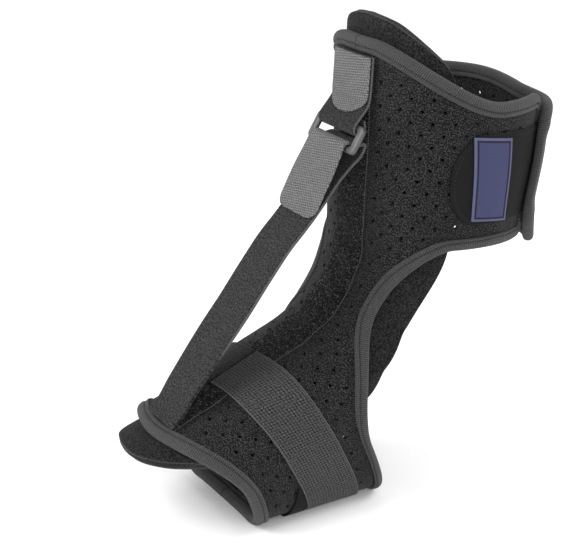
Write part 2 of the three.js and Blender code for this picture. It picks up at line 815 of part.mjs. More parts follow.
// Points of a table placed on the line from the strap's root to the front of the ring's bar
function strapPoints(rows) {
  const spine = spineAt(strapRoot);
  const off = panelFace + layerGap + strapThickness / 2;
  const root = [spine.y - spine.inY * off, spine.z - spine.inZ * off];
  const [top] = barTurn(-barMiddle, strapThickness, { from: 90, to: 90 }, 1);
  const [y, z] = [top[0] - root[0], top[1] - root[1]];
  const length = Math.hypot(y, z);
  return rows.map(({ along, out }) =>
    [root[0] + y * along - z / length * out, root[1] + z * along + y / length * out]);
}

function liftStrap() {
  const over = barTurn(-barMiddle, strapThickness, liftStrapTurn, 5);
  const route = [...strapPoints([{ along: 0, out: 0 }, ...strapRun]), ...over];
  const spreadOut = (t) => THREE.MathUtils.lerp(strapBaseWidth, strapWidth, ease(t * 3));
  return ribbon(curveOf(route), {
    steps: 36,
    thickness: strapThickness,
    widthAt: (t) => THREE.MathUtils.lerp(spreadOut(t), slotWidth, ease((t - 0.85) * 10)),
  });
}

// The end that folds down over the bar, faced with hook tape
function strapTab() {
  const over = barTurn(-barMiddle, strapThickness, hookTurn, 2);
  const roundPart = 0.2;
  const flare = (t) => THREE.MathUtils.lerp(slotWidth, hookWidth, ease(t * 2));
  return ribbon(curveOf([...over, ...strapPoints(hookRun)]), {
    steps: 18,
    thickness: hookThickness,
    widthAt: (t) => flare(t) * Math.max(arch(Math.max(t - 1 + roundPart, 0) / roundPart), 0.6),
  });
}

// Colours follow the cloth, foam, tape, hook tape and plastic
const finishes = {
  charcoal: { color: 0x2d2d2f, roughness: 0.95, metalness: 0 },
  fleece: { color: 0x232325, roughness: 1, metalness: 0 },
  foam: { color: 0x313133, roughness: 1, metalness: 0 },
  tape: { color: 0x555858, roughness: 0.85, metalness: 0 },
  strap: { color: 0x3c3c3e, roughness: 0.95, metalness: 0 },
  hook: { color: 0x969694, roughness: 0.7, metalness: 0 },
  elastic: { color: 0x4a4b4c, roughness: 0.9, metalness: 0 },
  tab: { color: 0x232526, roughness: 0.75, metalness: 0 },
  patch: { color: 0x3d3f63, roughness: 0.8, metalness: 0 },
  plastic: { color: 0x8a8d8f, roughness: 0.45, metalness: 0 },
};

const splint = new THREE.Group();
splint.name = 'night_splint';

function add(name, geometry, finish) {
  const mesh = new THREE.Mesh(geometry, new THREE.MeshStandardMaterial(finishes[finish]));
  mesh.name = name;
  splint.add(mesh);
  return mesh;
}

add('cover', cover(), 'charcoal');
add('foam_liner', liner(), 'foam');
add('middle_panel', middlePanel(), 'fleece');
add('near_binding', tape(sidePath(1), 1), 'tape');
add('far_binding', tape(sidePath(-1), -1), 'tape');
add('toe_binding', tape(toePath(), 1), 'tape');
add('calf_tab', calfTab(), 'tab');
add('blank_patch', labelPatch(), 'patch');
add('instep_band', instepBand(), 'elastic');
add('band_tab', bandTab(), 'tab');
add('sole_tab', soleTab(), 'tab');
add('top_tab', topTab(), 'hook');
add('ring_strap', ringStrap(), 'strap');
add('lift_strap', liftStrap(), 'strap');
add('strap_tab', strapTab(), 'hook');

const buckle = add('ring', ring(), 'plastic');
buckle.rotation.x = rad(ringTilt);
buckle.position.set(0, ringCentre[0], ringCentre[1]);

// The origin is the middle of the footprint, on the surface that the sole stands on
const box = new THREE.Box3().setFromObject(splint, true);
const centre = box.getCenter(new THREE.Vector3());
splint.position.set(-centre.x, -centre.y, -box.min.z);

export default splint;
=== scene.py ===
"""Night splint: the cloth, foam, tapes, straps and ring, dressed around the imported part.

Lengths are millimetres until a mesh is made. s runs down the shin and along the instep,
angle in degrees round the leg from the middle of the shin, off outwards from the leg.
"""

import bmesh
import bpy
import numpy as np
from mathutils import Matrix, Vector


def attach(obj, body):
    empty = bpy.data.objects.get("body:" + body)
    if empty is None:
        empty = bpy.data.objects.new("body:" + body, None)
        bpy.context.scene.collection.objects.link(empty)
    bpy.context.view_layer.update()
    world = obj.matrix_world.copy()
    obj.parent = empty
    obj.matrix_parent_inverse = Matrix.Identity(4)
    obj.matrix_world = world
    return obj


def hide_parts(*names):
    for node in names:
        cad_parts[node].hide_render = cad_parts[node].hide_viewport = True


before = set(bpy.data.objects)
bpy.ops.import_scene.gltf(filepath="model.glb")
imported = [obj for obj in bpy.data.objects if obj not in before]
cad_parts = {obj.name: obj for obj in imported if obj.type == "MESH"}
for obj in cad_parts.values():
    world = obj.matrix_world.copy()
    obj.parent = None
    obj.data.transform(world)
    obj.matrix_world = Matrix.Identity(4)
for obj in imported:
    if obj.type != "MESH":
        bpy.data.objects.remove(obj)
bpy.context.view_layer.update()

MM = 0.001
SHIFT = np.array([-0.437, 78.386, 0.0])

# The form that the splint is wrapped round, as in the part
SHIN_LENGTH, BEND_RADIUS, FOOT_SLOPE, FOOT_LENGTH = 108.0, 72.0, 23.5, 103.0
TOE_HEIGHT, SHIN_REACH = 57.0, 61.0
CALF_HALF_WIDTH, CALF_DEPTH = 57.0, 112.0
ROUNDNESS, SOLE_SQUARENESS, SOLE_FLAT, UNDER_ANGLE, UNDER_FADE = 2.3, 4.0, 1.03, 80.0, 60.0
FRONT_SQUARENESS, FRONT_START, FRONT_END, FRONT_ANGLE, FRONT_FADE = 3.0, 55.0, 255.0, 75.0, 40.0
SECTIONS = np.array([  # along, width, depth
    (0.00, 1.000, 1.000), (0.20, 0.975, 0.985), (0.37, 0.905, 0.955), (0.51, 0.865, 1.085),
    (0.65, 0.835, 1.020), (0.82, 0.849, 0.935), (1.00, 0.877, 0.785),
])
COVER, LINER, PANEL, GAP = 3.2, 10.0, 1.0, 0.35
TAPE_WIDTH, TAPE_OVERHANG, TAPE_OUT, TAPE_GAP = 8.6, 1.8, 1.9, 0.6
TOP_RISE, TOP_DIP, TOP_START, TOP_END = 8.0, 34.0, 12.0, 98.0
NEAR_END, FAR_END = 140.0, 232.0
WING_BOTTOM, WING_CORNER, WAIST, WAIST_ANGLE = 110.3, 14.0, 148.0, 37.3
HEEL_TOP, HEEL_FOOT, FOOT_REAR = 72.0, 100.0, 190.5
TOE_DIP, TOE_DIP_ANGLE, SOLE_SEAM = 23.0, 104.0, 179.4
LAP, LAP_START, LAP_END = 7.6, 188.0, 214.0
TOP_DROOP, BOTTOM_DROOP, DROOP_START, DROOP_END = 7.0, 3.0, 150.0, 225.0

BEND = np.radians(90 - FOOT_SLOPE)
FOOT_START = SHIN_LENGTH + BEND_RADIUS * BEND
SPINE = FOOT_START + FOOT_LENGTH
SOLE = COVER + TAPE_OUT
PANEL_FACE = COVER + GAP + PANEL
TAPE_REACH = TAPE_WIDTH - TAPE_OVERHANG

# Creases of the cloth: how far out, and where they start and end
BEND_CREASE_ANGLE, BEND_CREASE_START, BEND_CREASE_END = 34.0, 96.0, 206.0
TOE_CREASE_ANGLE, TOE_CREASE_START, TOE_CREASE_CLEAR = 70.0, 240.0, 13.0


def ease(x):
    x = np.clip(x, 0, 1)
    return x * x * (3 - 2 * x)


def window(x, start, rise, end, fall):
    """1 between start and end, eased up over rise and down over fall inside them."""
    return ease((x - start) / rise) * ease((end - x) / fall)


def arch(x):
    return np.sqrt(np.maximum(1 - np.asarray(x, float) ** 2, 0))


def read_table(rows, at, column=1):
    """Value of a column on a smooth curve through a table's rows; column 0 is the place."""
    place, value = rows[:, 0], rows[:, column]
    last = len(place) - 1
    after = np.minimum(np.arange(last + 1) + 1, last)
    before = np.maximum(np.arange(last + 1) - 1, 0)
    slope = (value[after] - value[before]) / (place[after] - place[before])
    at = np.clip(at, place[0], place[-1])
    i = np.clip(np.searchsorted(place, at) - 1, 0, last - 1)
    span = place[i + 1] - place[i]
    t = (at - place[i]) / span
    return (value[i] * (1 + 2 * t) * (1 - t) ** 2 + value[i + 1] * (3 - 2 * t) * t ** 2
            + span * t * (1 - t) * (slope[i] * (1 - t) - slope[i + 1] * t))


def spine_at(s):
    """Point of the spine and the direction from it into the leg, both in the YZ plane."""
    centre = TOE_HEIGHT + FOOT_LENGTH * np.sin(np.radians(FOOT_SLOPE)) + BEND_RADIUS * np.sin(BEND)
    turn = np.clip((s - SHIN_LENGTH) / BEND_RADIUS, 0, BEND)
    run = np.where(s < SHIN_LENGTH, s - SHIN_LENGTH, np.maximum(s - FOOT_START, 0))
    y = -SHIN_REACH - BEND_RADIUS * (1 - np.cos(turn)) - run * np.sin(turn)
    z = centre - BEND_RADIUS * np.sin(turn) - run * np.cos(turn)
    return y, z, np.cos(turn), -np.sin(turn)


def on_form(s, angle):
    y, z, in_y, in_z = spine_at(s)
    half = CALF_HALF_WIDTH * read_table(SECTIONS, s / SPINE, 1)
    free = CALF_DEPTH * read_table(SECTIONS, s / SPINE, 2)
    bend_length = BEND_RADIUS * BEND
    foot = ease((s - SHIN_LENGTH - bend_length / 2) / (bend_length / 2))
    to_sole = np.where(foot > 0, SOLE_FLAT * (z - SOLE) / np.minimum(in_z, -0.05) * -1, 0)
    depth = free * (1 - foot) + to_sole * foot
    under = ease((np.abs(angle) - UNDER_ANGLE) / UNDER_FADE) * foot
    front = (ease((FRONT_ANGLE - np.abs(angle)) / FRONT_FADE)
             * window(s, FRONT_START, FRONT_FADE, FRONT_END, FRONT_FADE))
    power = (ROUNDNESS + (SOLE_SQUARENESS - ROUNDNESS) * under
             + (FRONT_SQUARENESS - ROUNDNESS) * front)
    sine, cosine = np.sin(np.radians(angle)), np.cos(np.radians(angle))
    radius = (np.abs(sine) ** power + np.abs(cosine) ** power) ** (-1 / power)
    inward = depth / 2 * (1 - radius * cosine)
    height = z + in_z * inward
    height = np.where(foot > 0, np.maximum(height, SOLE), height)
    return np.stack([half * radius * sine, y + in_y * inward, height], -1)


def skin_frame(s, angle):
    """Points of the form, their outward normals, and mm for one of s and for one degree."""
    s, angle = np.broadcast_arrays(np.asarray(s, float), np.asarray(angle, float))
    step = 0.5
    down = on_form(s + step, angle) - on_form(s - step, angle)
    turn = on_form(s, angle + step) - on_form(s, angle - step)
    normal = np.cross(down, turn)
    normal /= np.linalg.norm(normal, axis=-1, keepdims=True)
    return on_form(s, angle), normal, np.linalg.norm(down, axis=-1), np.linalg.norm(turn, axis=-1)


def lap_lift(angle):
    return LAP * ease((-angle - LAP_START) / (LAP_END - LAP_START))


def ripple(s, angle):
    """Soft creases of the cloth in the bend and on the instep, none near the bound edges."""
    bend = (ease((BEND_CREASE_ANGLE - np.abs(angle)) / 16)
            * window(s, BEND_CREASE_START, 26, BEND_CREASE_END, 24))
    toe = (ease((TOE_CREASE_ANGLE - np.abs(angle)) / 25)
           * window(s, TOE_CREASE_START, 16, toe_edge(angle) - TOE_CREASE_CLEAR, 14))
    return (bend * (0.55 * np.sin(s / 5.6 + angle / 13) + 0.35 * np.sin(s / 3.9 - angle / 9 + 1.0))
            + toe * 0.5 * np.sin(s / 4.4 + angle / 7.5))


def skin(s, angle, off):
    point, normal, _, _ = skin_frame(s, angle)
    lift = off + lap_lift(angle)
    return point + normal * np.asarray(lift)[..., None]


# Edges of the cover; the far wing comes round lower than it starts
def droop_share(angle):
    return ease((-angle - DROOP_START) / (DROOP_END - DROOP_START))


def top_edge(angle):
    dip = TOP_DIP * ease((np.abs(angle) - TOP_START) / (TOP_END - TOP_START))
    return dip - TOP_RISE + TOP_DROOP * droop_share(angle)


def toe_edge(angle):
    return SPINE - TOE_DIP * ease(np.abs(angle) / TOE_DIP_ANGLE)


def wing_edge(angle):
    turn = np.maximum(HEEL_TOP - np.abs(angle), 0) / (HEEL_TOP - WAIST_ANGLE)
    rise = (WAIST - WING_BOTTOM) * arch(np.minimum(turn, 1))
    return WAIST - rise + BOTTOM_DROOP * droop_share(angle)


def foot_edge(angle):
    turn = np.maximum(HEEL_FOOT - np.abs(angle), 0) / (HEEL_FOOT - WAIST_ANGLE)
    return WAIST + (FOOT_REAR - WAIST) * arch(np.minimum(turn, 1))


CALF_MM_PER_DEGREE = float(np.linalg.norm(
    on_form(np.array(54.0), np.array(90.5)) - on_form(np.array(54.0), np.array(89.5))))


def corner_draw(end, angle):
    into = WING_CORNER - (end - np.abs(angle)) * CALF_MM_PER_DEGREE
    drawn = WING_CORNER * (1 - arch(np.clip(into / WING_CORNER, 0, 1)))
    return np.where(into > 0, drawn, 0)


class Value:
    """A shader socket; arithmetic on it adds Math nodes."""

    def __init__(self, finish, socket):
        self.finish, self.socket = finish, socket

    def __add__(self, other):
        return self.finish.maths("ADD", self, other)

    def __sub__(self, other):
        return self.finish.maths("SUBTRACT", self, other)

    def __rsub__(self, other):
        return self.finish.maths("SUBTRACT", other, self)

    def __mul__(self, other):
        return self.finish.maths("MULTIPLY", self, other)

    def __abs__(self):
        return self.finish.maths("ABSOLUTE", self)

    __radd__ = __add__
    __rmul__ = __mul__


class Finish:
    """A material; by_place takes its pattern from the place in space and not from the weave map."""

    def __init__(self, name, roughness, by_place=False, **shader):
        self.material = bpy.data.materials.new(name)
        self.material.use_nodes = True
        self.tree = self.material.node_tree
        self.tree.nodes.clear()
        self.shader = self.tree.nodes.new("ShaderNodeBsdfPrincipled")
        output = self.tree.nodes.new("ShaderNodeOutputMaterial")
        self.tree.links.new(self.shader.outputs[0], output.inputs[0])
        self.set(Roughness=roughness, **{k.replace("_", " "): v for k, v in shader.items()})
        if by_place:
            metres = self.node("ShaderNodeTexCoord", out="Object")
            self.place = self.node("ShaderNodeVectorMath", {"operation": "SCALE"},
                                   {0: metres, "Scale": 1 / MM})
        else:
            self.place = self.node("ShaderNodeUVMap", {"uv_map": "weave"})
        self.across = self.node("ShaderNodeSeparateXYZ", {}, {0: self.place}, "X")
        self.along = self.node("ShaderNodeSeparateXYZ", {}, {0: self.place}, "Y")

    def node(self, kind, settings=None, sockets=None, out=0):
        """Any node: its settings come first, then the values or links of its sockets."""
        made = self.tree.nodes.new(kind)
        for key, value in (settings or {}).items():
            setattr(made, key, value)
        for key, value in (sockets or {}).items():
            self.join(made.inputs[key], value)
        return Value(self, made.outputs[out])

    def join(self, socket, value):
        if isinstance(value, Value):
            self.tree.links.new(value.socket, socket)
        else:
            socket.default_value = value

    def set(self, **sockets):
        for key, value in sockets.items():
            self.join(self.shader.inputs[key], value)
        return self

    def maths(self, operation, *values):
        return self.node("ShaderNodeMath", {"operation": operation}, dict(enumerate(values)))

    def between(self, value, low, high):
        """0 below low, 1 above high, smooth between."""
        return self.node("ShaderNodeMapRange", {"interpolation_type": "SMOOTHSTEP"},
                         {0: value, 1: low, 2: high})

    def wave(self, value, pitch):
        """0 to 1 and back over each pitch."""
        return self.maths("SINE", value * (2 * np.pi / pitch)) * 0.5 + 0.5

    def grain(self, size, detail=3.0, stretch=(1, 1, 1)):
        """Cloudy noise whose blobs are about size across."""
        drawn = self.node("ShaderNodeVectorMath", {"operation": "MULTIPLY"},
                          {0: self.place, 1: stretch})
        return self.node("ShaderNodeTexNoise", {},
                         {"Vector": drawn, "Scale": 1 / size, "Detail": detail, "Roughness": 0.6})

    def mix(self, factor, first, second):
        """Colour between two; plain colours are linear RGB."""
        pair = [c if isinstance(c, Value) else (*c, 1.0) for c in (first, second)]
        return self.node("ShaderNodeMix", {"data_type": "RGBA"},
                         {0: factor, 6: pair[0], 7: pair[1]}, 2)

    def surface(self, colour, height, depth):
        """Colour, and bumps that are depth mm deep."""
        bump = self.node("ShaderNodeBump", {}, {"Height": height, "Distance": depth * MM})
        return self.set(**{"Base Color": colour, "Normal": bump})


def grey(level, blue=1.0):
    return (level, level, level * blue)


def loop_cloth():
    """Napped cover cloth: short light fibres on a near-black ground."""
    cloth = Finish("cover_cloth", 0.97, Sheen_Weight=0.06, Specular_IOR_Level=0.12)
    fibre = cloth.grain(0.9, 3.0)
    clump = cloth.grain(4.0, 2.0)
    cloud = cloth.grain(30.0, 1.0)
    speck = cloth.between(fibre * 0.88 + clump * 0.12, 0.45, 0.63) * (cloud * 0.6 + 0.7)
    return cloth.surface(cloth.mix(speck, grey(0.0015), grey(0.040)), fibre + clump * 0.3, 0.5)


def fleece():
    """Short dark pile of the middle panel, its curls catching the light."""
    pile = Finish("panel_pile", 1.0, Sheen_Weight=0.05, Specular_IOR_Level=0.08)
    curl = pile.grain(1.0, 3.0, (1.0, 0.75, 1.0))
    clump = pile.grain(4.0, 2.0)
    tone = pile.between(curl * 0.8 + clump * 0.2, 0.50, 0.66)
    rim = pile.between(abs(pile.across), PANEL_HALF - 0.8, PANEL_HALF - 0.4)
    twist = pile.wave(pile.along, 1.6)
    colour = pile.mix(tone, grey(0.0015), grey(0.085))
    edge = pile.mix(twist, grey(0.020), grey(0.090))
    return pile.surface(pile.mix(rim * 0.75, colour, edge), curl + clump * 0.4, 0.8)


def ribbed_tape():
    """Edge tape with fine ribs across it."""
    tape = Finish("ribbed_tape", 0.85, Sheen_Weight=0.08, Specular_IOR_Level=0.2)
    rib = tape.wave(tape.across + tape.grain(3.0) * 0.5, 1.25)
    thread = tape.grain(0.7, 2.0)
    worn = tape.grain(10.0, 2.0)
    tone = rib * 0.5 + tape.between(thread, 0.35, 0.65) * 0.3 + worn * 0.25 - 0.05
    return tape.surface(tape.mix(tone, grey(0.008), grey(0.070, 1.02)), rib + thread * 0.5, 0.35)


def smooth_tab():
    """Smooth near-black laminated cloth."""
    tab = Finish("tab_cloth", 0.7, Specular_IOR_Level=0.12)
    fine = tab.grain(0.6, 3.0)
    cloud = tab.grain(14.0, 2.0)
    tone = tab.between(fine, 0.3, 0.7) * 0.6 + cloud * 0.4
    return tab.surface(tab.mix(tone, grey(0.002), grey(0.008, 1.08)), fine, 0.15)


def patch_weave():
    """Navy woven patch, bare, with a lighter overlocked border and a dark line inside it."""
    patch = Finish("patch_weave", 0.75, Specular_IOR_Level=0.25)
    beside = PATCH_WIDTH / 2 - abs(patch.across)
    above = PATCH_LENGTH / 2 - abs(patch.along)
    rim = patch.maths("MINIMUM", beside, above)
    border = 1 - patch.between(rim, 1.3, 1.6)
    line = patch.between(rim, 1.6, 1.9) * (1 - patch.between(rim, 2.6, 2.9))
    twill = patch.wave(patch.across + patch.along * 0.5, 0.95)
    thread = patch.grain(0.6, 2.0)
    wrap = patch.wave(patch.across + patch.along, 1.1)
    field = patch.mix(twill * 0.5 + thread * 0.5, (0.014, 0.015, 0.044), (0.052, 0.056, 0.136))
    edge = patch.mix(wrap, (0.040, 0.044, 0.094), (0.120, 0.126, 0.225))
    colour = patch.mix(line, patch.mix(border, field, edge), (0.004, 0.004, 0.012))
    return patch.surface(colour, twill * 0.4 + thread * 0.4 + border * wrap, 0.3)


def grid_elastic():
    """Woven elastic: light dashes in rows on a dark ground, with a thin paler selvedge."""
    band = Finish("grid_elastic", 0.9, Sheen_Weight=0.06, Specular_IOR_Level=0.15)
    wobble = band.grain(7.0, 2.0) * 1.2
    rib = band.wave(band.across + wobble, 1.9)
    dash = band.wave(band.along + wobble + band.across * 0.25, 1.75)
    thread = band.grain(0.9, 3.0)
    knot = band.between(rib * 0.5 + dash * 0.5, 0.30, 0.85)
    tone = knot * 0.50 + band.between(thread, 0.44, 0.60) * 0.50
    edge = band.between(abs(band.across), BAND_WIDTH / 2 - 1.15, BAND_WIDTH / 2 - 0.8)
    cord = band.wave(band.along, 1.3)
    field = band.mix(tone, grey(0.004), grey(0.080, 1.02))
    selvedge = band.mix(cord * 0.6 + thread * 0.4, grey(0.020), grey(0.120))
    return band.surface(band.mix(edge, field, selvedge), knot * (1 - edge) + cord * edge, 0.5)


def hook_tape():
    """Light grey hook tape: slanting rows of small hooks."""
    tape = Finish("hook_tape", 0.75, Specular_IOR_Level=0.25)
    bend = tape.grain(6.0, 2.0) * 1.0
    row = tape.wave(tape.along + tape.across * 0.16 + bend * 0.6, 1.5)
    column = tape.wave(tape.across - tape.along * 0.5 + bend, 1.9)
    hook = tape.between(tape.grain(0.9, 3.0), 0.32, 0.68)
    tone = row * column * 0.70 + hook * 0.34 + tape.grain(12.0) * 0.2 - 0.05
    return tape.surface(tape.mix(tone, grey(0.040), grey(0.270)), row + column + hook * 0.7, 0.5)


def loop_webbing(name, half_width, light):
    """Dark speckled loop webbing with a thin pale line along each edge."""
    web = Finish(name, 0.95, Sheen_Weight=0.06, Specular_IOR_Level=0.12)
    fibre = web.grain(1.25, 3.0)
    cloud = web.grain(8.0, 2.0)
    speck = web.between(fibre, 0.38, 0.66) * (cloud * 0.9 + 0.5)
    edge = web.between(abs(web.across), half_width - 0.6, half_width - 0.2)
    twist = web.wave(web.along, 1.3)
    colour = web.mix(speck, grey(0.005), grey(light))
    rim = web.mix(twist, grey(0.045), grey(0.120))
    return web.surface(web.mix(edge * 0.8, colour, rim), fibre + edge * 0.3, 0.5)


def felt():
    """Brushed cloth on the foam liner."""
    cloth = Finish("liner_felt", 1.0, by_place=True, Sheen_Weight=0.05, Specular_IOR_Level=0.08)
    nap = cloth.grain(1.1, 3.0)
    cloud = cloth.grain(20.0, 2.0)
    tone = cloth.between(nap, 0.36, 0.68) * (cloud * 0.8 + 0.5)
    border = cloth.node("ShaderNodeSeparateXYZ", {},
                        {0: cloth.node("ShaderNodeUVMap", {"uv_map": "weave"})}, "X")
    line = 1 - cloth.between(abs(border - LINER_SEAM), 0.2, 0.5)
    ground = cloth.mix(tone, grey(0.003), grey(0.027))
    return cloth.surface(cloth.mix(line * 0.6, ground, grey(0.060)), nap, 0.45)


def moulded_plastic():
    """Satin grey plastic with a faint mould grain."""
    plastic = Finish("ring_plastic", 0.4, by_place=True, Specular_IOR_Level=0.45)
    fine = plastic.grain(0.5, 3.0)
    cloud = plastic.grain(6.0, 2.0)
    rub = plastic.between(cloud, 0.45, 0.75)
    plastic.set(Roughness=fine * 0.15 + rub * 0.12 + 0.28)
    return plastic.surface(plastic.mix(cloud, grey(0.045, 1.02), grey(0.085, 1.03)), fine, 0.03)


def sewing_thread(name, level):
    """Twisted sewing thread."""
    yarn = Finish(name, 0.7, by_place=True, Specular_IOR_Level=0.2)
    twist = yarn.grain(0.3, 2.0)
    return yarn.surface(yarn.mix(twist, grey(level * 0.6), grey(level * 1.4)), twist, 0.05)


def floor_paper():
    paper = Finish("floor_paper", 0.9, by_place=True, Specular_IOR_Level=0.2)
    tooth = paper.grain(1.5, 2.0)
    return paper.surface(paper.mix(tooth, grey(0.90), grey(0.93)), tooth, 0.02)


# Making meshes
def piece(name, finish, nodes, points, faces, weave=None, sharp=50.0):
    """Object from points in mm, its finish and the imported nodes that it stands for."""
    mesh = bpy.data.meshes.new(name)
    mesh.from_pydata(((points + SHIFT) * MM).tolist(), [], faces)
    if weave is not None:
        layer = mesh.uv_layers.new(name="weave")
        corner = np.empty(len(mesh.loops), int)
        mesh.loops.foreach_get("vertex_index", corner)
        layer.data.foreach_set("uv", np.asarray(weave, float)[corner].ravel())
    made = bmesh.new()
    made.from_mesh(mesh)
    bmesh.ops.remove_doubles(made, verts=made.verts, dist=0.004 * MM)
    bmesh.ops.dissolve_degenerate(made, edges=made.edges, dist=0.003 * MM)
    bmesh.ops.recalc_face_normals(made, faces=made.faces)
    made.to_mesh(mesh)
    made.free()
    mesh.shade_smooth()
    mesh.set_sharp_from_angle(angle=np.radians(sharp))
    mesh.materials.append(finish.material)
    body = bpy.data.objects.new(name, mesh)
    bpy.context.scene.collection.objects.link(body)
    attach(body, "root")
    if nodes:
        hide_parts(*nodes)
    return body


def grid_faces(rows, columns, index):
    """Quads of a grid whose point (i, j) has the number index[i, j]."""
    return [[index[i, j], index[i + 1, j], index[i + 1, j + 1], index[i, j + 1]]
            for i in range(rows - 1) for j in range(columns - 1)]


def spaced(count, closer=0.5):
    """0 to 1, closer together at both ends."""
    t = np.linspace(0, 1, count)
    return (1 - closer) * t + closer * (1 - np.cos(np.pi * t)) / 2


def running_length(points, axis):
    step = np.linalg.norm(np.diff(points, axis=axis), axis=-1)
    start = np.zeros_like(np.take(step, [0], axis))
    return np.concatenate([start, np.cumsum(step, axis)], axis)


def from_border(points):
    """Distance of each point of a grid from the grid's border."""
    near = np.full(points.shape[:2], np.inf)
    for axis in (0, 1):
        run = running_length(points, axis)
        near = np.minimum(near, np.minimum(run, np.take(run, [-1], axis) - run))
    return near


def pad_points(place, s, angle, low, high, rim, square=2.0):
    """Two skins over a grid, meeting in a rim that is rounder the lower square is."""
    middle = place(s, angle, (low + high) / 2)
    into = np.clip(from_border(middle) / rim, 0, 1)
    share = (1 - (1 - into) ** square) ** (1 / square)
    half = (high - low) / 2 * share
    return place(s, angle, (low + high) / 2 + half), place(s, angle, (low + high) / 2 - half)


def pad(name, finish, nodes, outer, inner, weave=None):
    """Closed piece from two grids that share their border."""
    rows, columns = outer.shape[:2]
    top = np.arange(rows * columns).reshape(rows, columns)
    under = top.copy()
    inside = (slice(1, -1), slice(1, -1))
    under[inside] = top.size + np.arange((rows - 2) * (columns - 2)).reshape(rows - 2, columns - 2)
    points = np.concatenate([outer.reshape(-1, 3), inner[inside].reshape(-1, 3)])
    faces = grid_faces(rows, columns, top)
    faces += [face[::-1] for face in grid_faces(rows, columns, under)]
    if weave is not None:
        weave = np.concatenate([weave.reshape(-1, 2), weave[inside].reshape(-1, 2)])
    return piece(name, finish, nodes, points, faces, weave)


def tube_faces(count, sides, first=0, closed=False):
    """Quads between rings whose points are numbered from first; unless closed, two end caps."""
    faces = []
    for i in range(count if closed else count - 1):
        here, there = first + i * sides, first + (i + 1) % count * sides
        for j in range(sides):
            k = (j + 1) % sides
            faces.append([here + j, here + k, there + k, there + j])
    if not closed:
        last = first + (count - 1) * sides
        faces += [list(range(first, first + sides)), list(range(last, last + sides))]
    return faces


def loft(name, finish, nodes, rings, weave=None, closed=False, sharp=50.0):
    """Closed piece from rings of points; without closed, its two ends are capped."""
    count, sides = rings.shape[:2]
    if weave is not None:
        weave = weave.reshape(-1, 2)
    return piece(name, finish, nodes, rings.reshape(-1, 3),
                 tube_faces(count, sides, closed=closed), weave, sharp)


def stitches(name, finish, path, normal, pitch, length, thick):
    """A row of short threads along a path, each sunk a little at its ends."""
    run = running_length(path, 0)
    at = lambda values, where: np.stack([np.interp(where, run, values[:, k]) for k in range(3)], -1)
    shares = np.array([-1, -0.7, 0, 0.7, 1])
    bulge = np.array([0.25, 0.85, 1, 0.85, 0.25])
    turns = np.radians([0, 72, 144, 216, 288])[:, None]
    points, faces = [], []
    for middle in np.arange(pitch / 2, run[-1] - length / 2, pitch):
        where = middle + shares * length / 2
        up = at(normal, where)
        up /= np.linalg.norm(up, axis=1, keepdims=True)
        centre = at(path, where) + up * (thick * 0.35 * (bulge - 0.6))[:, None]
        ahead = centre[-1] - centre[0]
        side = np.cross(ahead / np.linalg.norm(ahead), up)
        faces += tube_faces(len(shares), len(turns), len(points))
        for k, swell in enumerate(thick * bulge):
            points += list(centre[k] + (np.cos(turns) * up[k] + np.sin(turns) * side[k]) * swell)
    return piece(name, finish, (), np.array(points), faces)


def seam(name, finish, slot, s, angle, off, pitch, length, thick):
    """Stitches along a line of places on the form, off mm above it."""
    return stitches(name, finish, skin(s, angle, off), skin_frame(s, angle)[1],
                    pitch, length, thick)


# Cover
HOLE_PITCH, HOLE_ROW, HOLE_RADIUS, HOLE_RIM, HOLE_DIP = 13.4, 7.0, 1.25, 1.6, 0.4
HOLE_SIDES, HOLE_CLEAR = 8, 3.0
CELLS_ACROSS, CELLS_DOWN = 4, 2
CELL_WIDTH, CELL_LENGTH = HOLE_PITCH / CELLS_ACROSS, HOLE_ROW / CELLS_DOWN
COVER_MARGIN, DRAWN_MARGIN = 1.0, 1.2
OUTSIDE = 999.0
PANEL_HALF = 14.5


def wing_outline(side, spacing):
    """Dense (s, signed angle) line of the cover's edge: top, wing's end, waist, foot, sole seam."""
    end = NEAR_END if side > 0 else FAR_END
    corner = WING_CORNER / CALF_MM_PER_DEGREE
    turn = np.sin(np.linspace(0, np.pi / 2, 24))
    wing = np.concatenate([np.linspace(0.35, end - corner, 260), end - corner + corner * turn[1:]])
    top = np.stack([top_edge(wing * side) + corner_draw(end, wing), wing], -1)
    heel = HEEL_TOP - (HEEL_TOP - WAIST_ANGLE) * np.sin(np.linspace(0, np.pi / 2, 60))
    back = wing[wing > HEEL_TOP][::-1]
    low = np.stack([wing_edge(back * side) - corner_draw(end, back), back], -1)
    down = np.stack([wing_edge(heel), heel], -1)
    rear = np.linspace(top[-1, 0], low[0, 0], 40)[1:-1]
    close = np.stack([rear, np.full(38, end)], -1)
    arch_in = HEEL_FOOT - (HEEL_FOOT - WAIST_ANGLE) * np.cos(np.linspace(0, np.pi / 2, 70))
    foot = np.stack([foot_edge(arch_in), arch_in], -1)[1:]
    under = np.linspace(HEEL_FOOT, SOLE_SEAM, 90)[1:]
    sole = np.stack([np.full(89, FOOT_REAR), under], -1)
    line = np.concatenate([top, close, low, down, foot, sole])
    return even_path(line * (1, side), spacing)


def toe_outline(spacing):
    angle = np.linspace(SOLE_SEAM, -SOLE_SEAM, 420)
    return even_path(np.stack([toe_edge(angle), angle], -1), spacing)


def even_path(line, spacing):
    """The same (s, angle) line with points spaced evenly over the surface."""
    run = running_length(skin(line[:, 0], line[:, 1], COVER / 2), 0)
    keep = np.concatenate([[True], np.diff(run) > 1e-6])
    run, line = run[keep], line[keep]
    where = np.linspace(0, run[-1], int(run[-1] / spacing) + 1)
    return np.stack([np.interp(where, run, line[:, k]) for k in (0, 1)], -1)


